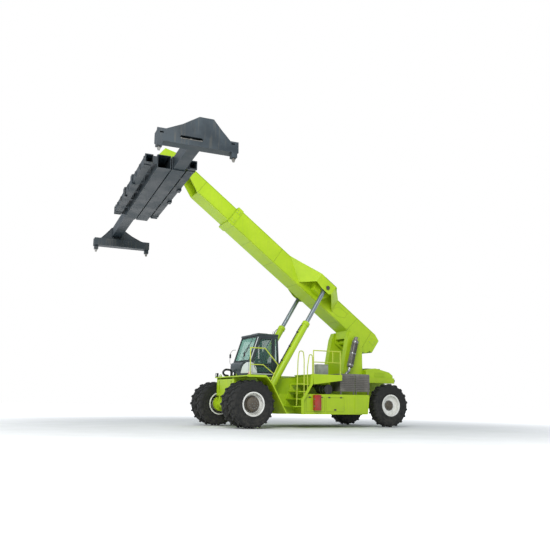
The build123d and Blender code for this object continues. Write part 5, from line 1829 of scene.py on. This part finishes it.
@dataclass
class Tail(Dresser):
    """Hinge pin covers, hood handles and louvres, and tail lamps."""

    louvre_top: float = 2.3345
    tower_y: float = 0.785
    lamp_z: float = 1.85

    def towers(self) -> None:
        """Bolted covers over the boom's hinge pin."""
        bolts, rings = Builder(), Builder()
        for side in (-1, 1):
            centre = Vector((PIVOT.x, side * self.tower_y, PIVOT.z))
            bolts.bolt_circle(centre, side, 0.158, 0.0, 12, 0.015)
            rings.lathe([(0.0, 0.012), (0.1, 0.012), (0.106, 0.02), (0.12, 0.022), (0.126, 0.012),
                         (0.126, 0.0)], centre, (0, side, 0), 40)
        self.make(bolts, "hinge_bolts", "bare_steel")
        self.make(rings, "hinge_pin_covers", "lime_paint")

    def hood(self) -> None:
        """Handles at the rear and louvres on the top."""
        metal, louvres = Builder(), Builder()
        for y in (-0.55, 0.55):
            grip = [(-6.85, y - 0.08, 2.135), (-6.88, y - 0.08, 2.17), (-6.88, y + 0.08, 2.17),
                    (-6.85, y + 0.08, 2.135)]
            metal.bent_tube(from_axle, grip, 0.02, 0.008)
            for k in range(12):
                x = -6.42 + 0.06 * k
                louvres.cuboid(from_axle, (x, y - 0.25, 2.31), (x + 0.03, y + 0.25, self.louvre_top))
        self.make(metal, "hood_handles", "bare_steel")
        self.make(louvres, "hood_louvres", "lime_shadow")

    def lamps(self) -> None:
        """Three lenses in a shell on each side of the counterweight."""
        red, amber, shell = Builder(), Builder(), Builder()
        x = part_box("counterweight")[0][0]
        for side in (-1, 1):
            for k, build in enumerate((red, amber, red)):
                y = side * (0.73 + 0.09 * k)
                centre = Vector((x - 0.027, y, self.lamp_z))
                build.lathe([(0.0, 0.016), (0.026, 0.014), (0.036, 0.004), (0.036, 0.0)],
                            centre, (-1, 0, 0), 20)
            shell.cuboid(around((x, 0, 0)), (-0.027, side * 0.68, 1.8), (0.01, side * 0.96, 1.9))
        self.make(red, "tail_lamp_red", "red_lens")
        self.make(amber, "tail_lamp_amber", "amber_lens")
        self.make(shell, "tail_lamp_shells", "black_plastic")

    def dress(self) -> None:
        """Makes the rear's pieces."""
        self.towers()
        self.hood()
        self.lamps()


# ---- spreader
@dataclass
class Spreader(Dresser):
    """Girder collars, ribs, pipes and bolts, and the end beams' lock housings and fittings."""

    girder_x: float = 0.88
    levels: Pair = (0.76, 1.04)
    half: float = 2.95
    face_y: float = 6.049
    corner_x: float = 1.1295

    def collars(self) -> None:
        """Collars at the girders' mouths with wear-pad bolts."""
        build, bolts = Builder(), Builder()
        low, high = self.levels
        for end in (-1, 1):
            for side in (-1, 1):
                outer = side * self.girder_x
                for depth in (0.0, 0.24):
                    y = end * (self.half - depth)
                    lip, back = outer + side * 0.016, y - end * 0.07
                    build.cuboid(on_spreader, (outer, y, low - 0.012), (lip, back, high + 0.012))
                    for z in (high, low - 0.016):
                        build.cuboid(on_spreader, (side * 0.625, y, z), (lip, back, z + 0.016))
                for k in range(4):
                    where = on_spreader(outer, end * (self.half - 0.16), low + 0.05 + 0.06 * k)
                    bolts.bolt(where, heading(on_spreader, side, 0, 0), 0.014)
        down = heading(on_spreader, 0, 0, -1)
        for x, z in ((-0.81, low), (-0.45, 0.6), (0.45, 0.6), (0.81, low)):
            places = [on_spreader(x, y, z) for y in (-2.4, -1.6, -0.8, 0.8, 1.6, 2.4)]
            bolts.bolts(places, down, 0.013)
        self.make(build, "girder_collars", "spreader_paint", "spreader")
        self.make(bolts, "girder_bolts", "lock_steel", "spreader")

    def ribs(self) -> None:
        """Upright stiffeners on the girders' outer sides."""
        build = Builder()
        low, high = self.levels
        for side in (-1, 1):
            outer = side * self.girder_x
            for k in range(7):
                y = -2.106 + 0.7 * k
                rib = [(outer, y, low + 0.02), (outer + side * 0.05, y, low + 0.07),
                       (outer + side * 0.05, y, high - 0.07), (outer, y, high - 0.02)]
                build.skin(on_spreader, rib, (0, 0.012, 0))
        self.make(build, "girder_stiffeners", "spreader_paint", "spreader")

    def pipes(self) -> None:
        """Three clamped hydraulic pipes along each girder; the middle one ends early."""
        pipe, clamp = Builder(), Builder()
        z = self.levels[1]
        for side in (-1, 1):
            for k in range(3):
                x = side * (0.66 + 0.035 * k)
                line = [(x, -2.6, z), (x, -2.55, z + 0.025), (x, -1.35, z + 0.025)]
                if k == 1:
                    line += [(x, -1.3, z)]
                else:
                    line += [(x, -1.3, z + 0.025), (x, 2.55, z + 0.025), (x, 2.6, z)]
                pipe.bent_tube(on_spreader, line, 0.03, 0.011)
            for y in (-2.5, -2.1, 2.1, 2.5):
                clamp.cuboid(on_spreader, (side * 0.64, y - 0.02, z),
                             (side * 0.75, y + 0.02, z + 0.045))
        self.make(pipe, "spreader_pipes", "bare_steel", "spreader")
        self.make(clamp, "spreader_pipe_clamps", "black_plastic", "spreader")

    def on_beam(self, end: int) -> Place:
        """Directions of an end beam, as seen from the machine's middle.

        Args:
            end: 1 for the left beam, -1 for the right one.

        Returns:
            A function from (across, outwards, up) to the model's frame.
        """
        return lambda x, y, z: on_spreader(end * x, end * y, z)

    def beams(self) -> None:
        """Lock housings, gussets, edge strips and a turning rod on both end beams."""
        for name, end in SIDES:
            body, steel = Builder(), Builder()
            at = self.on_beam(end)
            axis = heading(at, 0, 0, 1)
            for x in (-self.corner_x, self.corner_x):
                body.lathe([(0.075, 0.2), (0.075, 0.272), (0.066, 0.284), (0.0, 0.286)],
                           at(x, 5.9925, 0.0), axis, 24)
                steel.bolts([at(x + a, 5.93, 0.2) for a in (-0.06, 0.06)], axis, 0.013)
            for x in (-0.95, -0.7, 0.35, 0.62, 0.9):
                gusset = [(x, 5.75, 0.48), (x, 6.048, 0.48), (x, 6.048, 0.57), (x, 6.02, 0.57)]
                body.skin(at, gusset, (0.014, 0, 0))
            hump = [(1.2, 0.15), (1.2, 0.53), (0.955, 0.53), (0.465, 0.757), (-0.035, 1.075),
                    (-0.465, 1.075), (-0.72, 0.77), (-0.995, 0.478), (-1.24, 0.478),
                    (-1.24, 0.15)]
            y = self.face_y
            for (x0, z0), (x1, z1) in zip(hump, hump[1:]):
                rim = Vector((z1 - z0, 0, x0 - x1)).normalized() * 0.014
                strip = [(x0, y, z0), (x1, y, z1), (x1 + rim.x, y, z1 + rim.z),
                         (x0 + rim.x, y, z0 + rim.z)]
                body.skin(at, strip, (0, -0.02, 0))
            self.make(body, f"lock_housings_{name}", "spreader_paint", f"end_{name}")
            steel.tube([at(0.6, 6.0, 0.36), at(-0.2, 6.0, 0.36)], 0.022, 10)
            for x in (-0.12, 0.2, 0.5):
                steel.lathe([(0.023, -0.03), (0.036, -0.03), (0.036, 0.03), (0.023, 0.03)],
                            at(x, 6.0, 0.36), heading(at, 1, 0, 0), 14)
            self.make(steel, f"end_beam_fittings_{name}", "lock_steel", f"end_{name}")

    def dress(self) -> None:
        """Makes the spreader's pieces."""
        self.collars()
        self.ribs()
        self.pipes()
        self.beams()


# ---- cab interior
@dataclass
class Interior(Dresser):
    """Seat, armrests, dashboard, wheel and levers seen through the glass."""

    seat_x: float = -1.15
    cell: float = 0.012
    pressure: float = 4.0
    frames: int = 20
    swell_cap: float = 0.008

    def cushion(self, build: Builder, name: str) -> bpy.types.Object:
        """Inflates a closed form into an upholstered pad.

        Args:
            build: the pad's starting form.
            name: the piece's name.

        Returns:
            The finished pad.
        """
        pad = self.make(build, name, "seat_fabric")
        self.remesh(pad)
        self.swell(pad)
        return pad

    def remesh(self, pad: bpy.types.Object) -> None:
        """Gives the pad even cells.

        Args:
            pad: the piece.
        """
        change = pad.modifiers.new("cells", "REMESH")
        change.mode = "VOXEL"
        change.voxel_size = self.cell
        self.apply(pad)

    def apply(self, pad: bpy.types.Object) -> None:
        """Writes the modifiers' result into the mesh.

        Args:
            pad: the piece.
        """
        graph = bpy.context.evaluated_depsgraph_get()
        made = bpy.data.meshes.new_from_object(pad.evaluated_get(graph))
        pad.modifiers.clear()
        material = pad.data.materials[0]
        pad.data = made
        if not made.materials:
            made.materials.append(material)
        for face in made.polygons:
            face.use_smooth = True

    def swell(self, pad: bpy.types.Object) -> None:
        """Runs the pressure simulation and keeps each point near its start.

        Args:
            pad: the piece.
        """
        start = [v.co.copy() for v in pad.data.vertices]
        change = pad.modifiers.new("stuffing", "CLOTH")
        change.settings.use_pressure = True
        change.settings.uniform_pressure_force = self.pressure
        change.settings.quality = 5
        change.settings.effector_weights.gravity = 0.0
        change.point_cache.frame_start = 1
        change.point_cache.frame_end = self.frames
        for frame in range(1, self.frames + 1):
            bpy.context.scene.frame_set(frame)
        self.apply(pad)
        for vertex, before in zip(pad.data.vertices, start):
            moved = vertex.co - before
            if moved.length > self.swell_cap:
                vertex.co = before + moved.normalized() * self.swell_cap
        bpy.context.scene.frame_set(1)

    def on_backrest(self, x: float, y: float, z: float) -> Vector:
        """A point given in the directions of the seat's leaning back.

        Args:
            x: ahead of the back's middle plane.
            y: distance to the left.
            z: height over the back's lower edge.

        Returns:
            The point in the model's frame.
        """
        return from_axle(self.seat_x - 0.205 - 0.19 * z + x, y, 2.35 + z)

    def seat(self) -> None:
        """Two pads with bolsters, a headrest, armrests and a boxed base."""
        x = self.seat_x
        pad = Builder()
        pad.cuboid(from_axle, (x - 0.24, -0.235, 2.24), (x + 0.258, 0.235, 2.325), 0.03)
        for side in (-1, 1):
            pad.cuboid(from_axle, (x - 0.22, side * 0.17, 2.27), (x + 0.24, side * 0.24, 2.34),
                       0.022)
        bottom = self.cushion(pad, "seat_cushion")
        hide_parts("cab_seat")
        back = Builder()
        tilted = self.on_backrest
        back.cuboid(tilted, (-0.03, -0.225, 0.01), (0.03, 0.225, 0.52), 0.02)
        for side in (-1, 1):
            back.cuboid(tilted, (-0.02, side * 0.165, 0.04), (0.05, side * 0.232, 0.5), 0.02)
        back.cuboid(tilted, (-0.03, -0.13, 0.53), (0.02, 0.13, 0.63), 0.022)
        self.cushion(back, "seat_back")
        base = Builder()
        base.cuboid(from_axle, (x - 0.2, -0.2, 1.952), (x + 0.2, 0.2, 2.05), 0.012)
        for k in range(6):
            z = 2.05 + 0.024 * k
            inset = 0.02 if k % 2 else 0.0
            base.cuboid(from_axle, (x - 0.19 + inset, -0.19 + inset, z),
                        (x + 0.19 - inset, 0.19 - inset, z + 0.024), 0.006)
        base.cuboid(from_axle, (x - 0.2, -0.2, 2.194), (x + 0.2, 0.2, 2.236), 0.01)
        for side in (-1, 1):
            armrest = [(x - 0.26, 0.24, 2.42), (x - 0.24, 0.285, 2.55), (x + 0.1, 0.285, 2.55),
                       (x + 0.14, 0.285, 2.54)]
            base.bent_tube(on_side(from_axle, side), armrest, 0.05, 0.026, 12)
        self.make(base, "seat_base", "black_plastic")

    def controls(self) -> None:
        """Dashboard hood with dials, the rimmed wheel on its column, levers and pedals."""
        build, glow = Builder(), Builder()
        hood = [(-0.26, 2.0), (-0.26, 2.36), (-0.34, 2.42), (-0.5, 2.44), (-0.56, 2.4),
                (-0.52, 2.3), (-0.42, 2.25), (-0.4, 2.0)]
        build.skin(from_axle, [(x, -0.4, z) for x, z in hood], (0, 0.8, 0), 0.008)
        top = from_axle(-0.715, 0, 2.5)
        foot = from_axle(-0.44, 0, 2.1)
        build.tube([foot, foot.lerp(top, 0.5), top], 0.034, 14)
        run = (top - foot).normalized()
        rim = [(0.2 + 0.0145 * math.cos(a), 0.0145 * math.sin(a)) for a in turns(24)]
        build.lathe([*rim, rim[0]], top, run, 48)
        across = run.cross(Vector((0, 1, 0))).normalized()
        for a in turns(3, math.pi / 2):
            arm = Vector((0, 1, 0)) * math.cos(a) + across * math.sin(a)
            build.tube([top - run * 0.012, top + arm * 0.1 - run * 0.01, top + arm * 0.195],
                       0.012, 8)
        build.lathe([(0.0, 0.02), (0.035, 0.018), (0.045, 0.0), (0.045, -0.03), (0.034, -0.05)],
                    top, run, 24)
        for y in (-0.3, 0.3):
            lever = [(-0.9, y, 2.57), (-0.9, y, 2.64), (-0.885, y, 2.7)]
            build.bent_tube(from_axle, lever, 0.02, 0.012)
            build.lathe([(0.0, 0.1), (0.018, 0.09), (0.026, 0.05), (0.022, 0.0), (0.012, -0.01)],
                        from_axle(-0.885, y, 2.66), (0.1, 0, 1), 16)
            build.tube([from_axle(-1.02, y * 0.95, 2.55), from_axle(-0.9, y, 2.57)], 0.02, 8)
        for y in (-0.14, 0.12):
            build.cuboid(from_axle, (-0.62, y - 0.04, 2.0), (-0.6, y + 0.04, 2.13), 0.006)
            build.tube([from_axle(-0.61, y, 2.06), from_axle(-0.42, y, 2.16)], 0.009, 6)
        dashboard = self.make(build, "cab_dashboard", "black_plastic")
        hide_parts("cab_controls")
        slope = Vector((-0.55, 0, -0.83)).normalized()
        for k, radius in enumerate((0.034, 0.05, 0.05, 0.034)):
            spot = from_axle(-0.545, -0.16 + 0.105 * k, 2.36)
            glow.lathe([(radius, -0.012), (radius, 0.004), (radius * 0.86, 0.006),
                        (radius * 0.84, 0.002), (0.0, 0.002)], spot, -slope.cross((0, 1, 0)), 24)
        glow.cuboid(from_axle, (-0.545, -0.39, 2.43), (-0.52, -0.15, 2.6), 0.008)
        glow.tube([from_axle(-0.52, -0.27, 2.4), from_axle(-0.53, -0.27, 2.5)], 0.012, 8)
        self.make(glow, "dashboard_dials", "lamp_plastic")

    def dress(self) -> None:
        """Makes what fills the cab."""
        self.seat()
        self.controls()


DRESSERS: tuple[type[Dresser], ...] = (
    Tyres, Hubs, Boom, LiftCylinders, Cab, Interior, Decks, SidePanels, Exhaust, Tail, Spreader,
)


# ---- stage
@dataclass
class Stage:
    """Pale floor, soft studio light and the camera."""

    rings: tuple[float, ...] = (0.01, 3, 6, 9, 12, 16, 22, 30, 45, 65, 90)
    segments: int = 64
    floor_tones: tuple[str, str] = ("#ececea", "#e6e6e3")
    fade_from: float = 6.0
    fade_to: float = 26.0
    sky: tuple[float, ...] = (0.86, 0.92, 1.0, 1.0)
    sky_strength: float = 0.62
    lamp_size: float = 9.0
    camera_at: Point = (11.208, 23.194, 0.965)
    yaw: float = -117.471
    pitch: float = 10.891
    roll: float = 0.721
    lens: float = 42.906

    def build(self) -> None:
        """Makes the whole stage."""
        self.floor()
        self.lights()
        self.camera()

    def floor(self) -> None:
        """A round floor that fades to the backdrop's white."""
        build = Builder()
        rings = [[build.mesh.verts.new((r * math.cos(a), r * math.sin(a), -0.002))
                  for a in turns(self.segments)] for r in self.rings]
        build.join(rings, self.segments)
        data = bpy.data.meshes.new("floor")
        build.mesh.to_mesh(data)
        build.mesh.free()
        s = Shader("floor_finish")
        place = s.tree.nodes.new("ShaderNodeNewGeometry")
        length = s.tree.nodes.new("ShaderNodeVectorMath")
        length.operation = "LENGTH"
        s.tree.links.new(place.outputs["Position"], length.inputs[0])
        fade = s.tree.nodes.new("ShaderNodeMapRange")
        fade.interpolation_type = "SMOOTHSTEP"
        fade.inputs["From Min"].default_value = self.fade_from
        fade.inputs["From Max"].default_value = self.fade_to
        s.tree.links.new(length.outputs["Value"], fade.inputs["Value"])
        grain = s.group(Effect.MOTTLE, Scale=0.6)
        s.feed("Base Color", s.mix(grain.outputs["Mask"], *map(srgb, self.floor_tones)))
        s.feed("Emission Strength", s.span(fade.outputs["Result"], 0.0, 1.0))
        s.plain("Emission Color", (1.0, 1.0, 1.0, 1.0))
        s.plain("Roughness", 0.9)
        data.materials.append(s.material)
        floor = bpy.data.objects.new("floor", data)
        bpy.context.scene.collection.objects.link(floor)

    def lights(self) -> None:
        """A white room, one broad key from the left front and a fill."""
        world = bpy.data.worlds.new("studio")
        bpy.context.scene.world = world
        world.use_nodes = True
        tree = world.node_tree
        back = tree.nodes["Background"]
        back.inputs["Color"].default_value = self.sky
        back.inputs["Strength"].default_value = self.sky_strength
        white = tree.nodes.new("ShaderNodeBackground")
        white.inputs["Color"].default_value = (1.0, 1.0, 1.0, 1.0)
        white.inputs["Strength"].default_value = 1.0
        seen = tree.nodes.new("ShaderNodeLightPath")
        mix = tree.nodes.new("ShaderNodeMixShader")
        tree.links.new(seen.outputs["Is Camera Ray"], mix.inputs["Fac"])
        tree.links.new(back.outputs["Background"], mix.inputs[1])
        tree.links.new(white.outputs["Background"], mix.inputs[2])
        tree.links.new(mix.outputs["Shader"], tree.nodes["World Output"].inputs["Surface"])
        self.area("key_light", (11.0, 19.0, 15.0), 2.5, 3250.0)
        self.area("fill_light", (22.0, -6.0, 9.0), 3.0, 1200.0)

    def area(self, name: str, at: Point, aim_z: float, watts: float) -> None:
        """Adds a square area light that faces the middle of the machine.

        Args:
            name: the light's name.
            at: where it hangs.
            aim_z: height of the point it faces.
            watts: its power.
        """
        data = bpy.data.lights.new(name, "AREA")
        data.energy, data.size = watts, self.lamp_size
        light = bpy.data.objects.new(name, data)
        light.location = at
        light.rotation_mode = "QUATERNION"
        aim = Vector((0.0, 0.0, aim_z)) - Vector(at)
        light.rotation_quaternion = aim.to_track_quat("-Z", "Y")
        bpy.context.scene.collection.objects.link(light)

    def camera(self) -> None:
        """Looks up at the machine from its left front, at floor level."""
        yaw, pitch, roll = (math.radians(v) for v in (self.yaw, self.pitch, self.roll))
        ahead = Vector(
            (math.cos(pitch) * math.cos(yaw), math.cos(pitch) * math.sin(yaw), math.sin(pitch))
        )
        right = ahead.cross(Vector((0, 0, 1))).normalized()
        up = right.cross(ahead)
        rolled = right * math.cos(roll) + up * math.sin(roll)
        over = up * math.cos(roll) - right * math.sin(roll)
        turn = Matrix((rolled, over, -ahead)).transposed()
        data = bpy.data.cameras.new("camera")
        data.lens = self.lens
        data.sensor_width = 36.0
        camera = bpy.data.objects.new("camera", data)
        camera.rotation_mode = "QUATERNION"
        camera.rotation_quaternion = turn.to_quaternion()
        camera.location = self.camera_at
        bpy.context.scene.collection.objects.link(camera)
        bpy.context.scene.camera = camera


def main() -> None:
    """Builds the scene in order."""
    logging.basicConfig(level=logging.INFO, format="%(name)s %(message)s")
    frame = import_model()
    palette = Palette()
    palette.coat(frame)
    for dresser in DRESSERS:
        dresser(palette).dress()
    Stage().build()
    bpy.context.scene.view_settings.view_transform = "Standard"


if __name__ == "__main__":
    main()
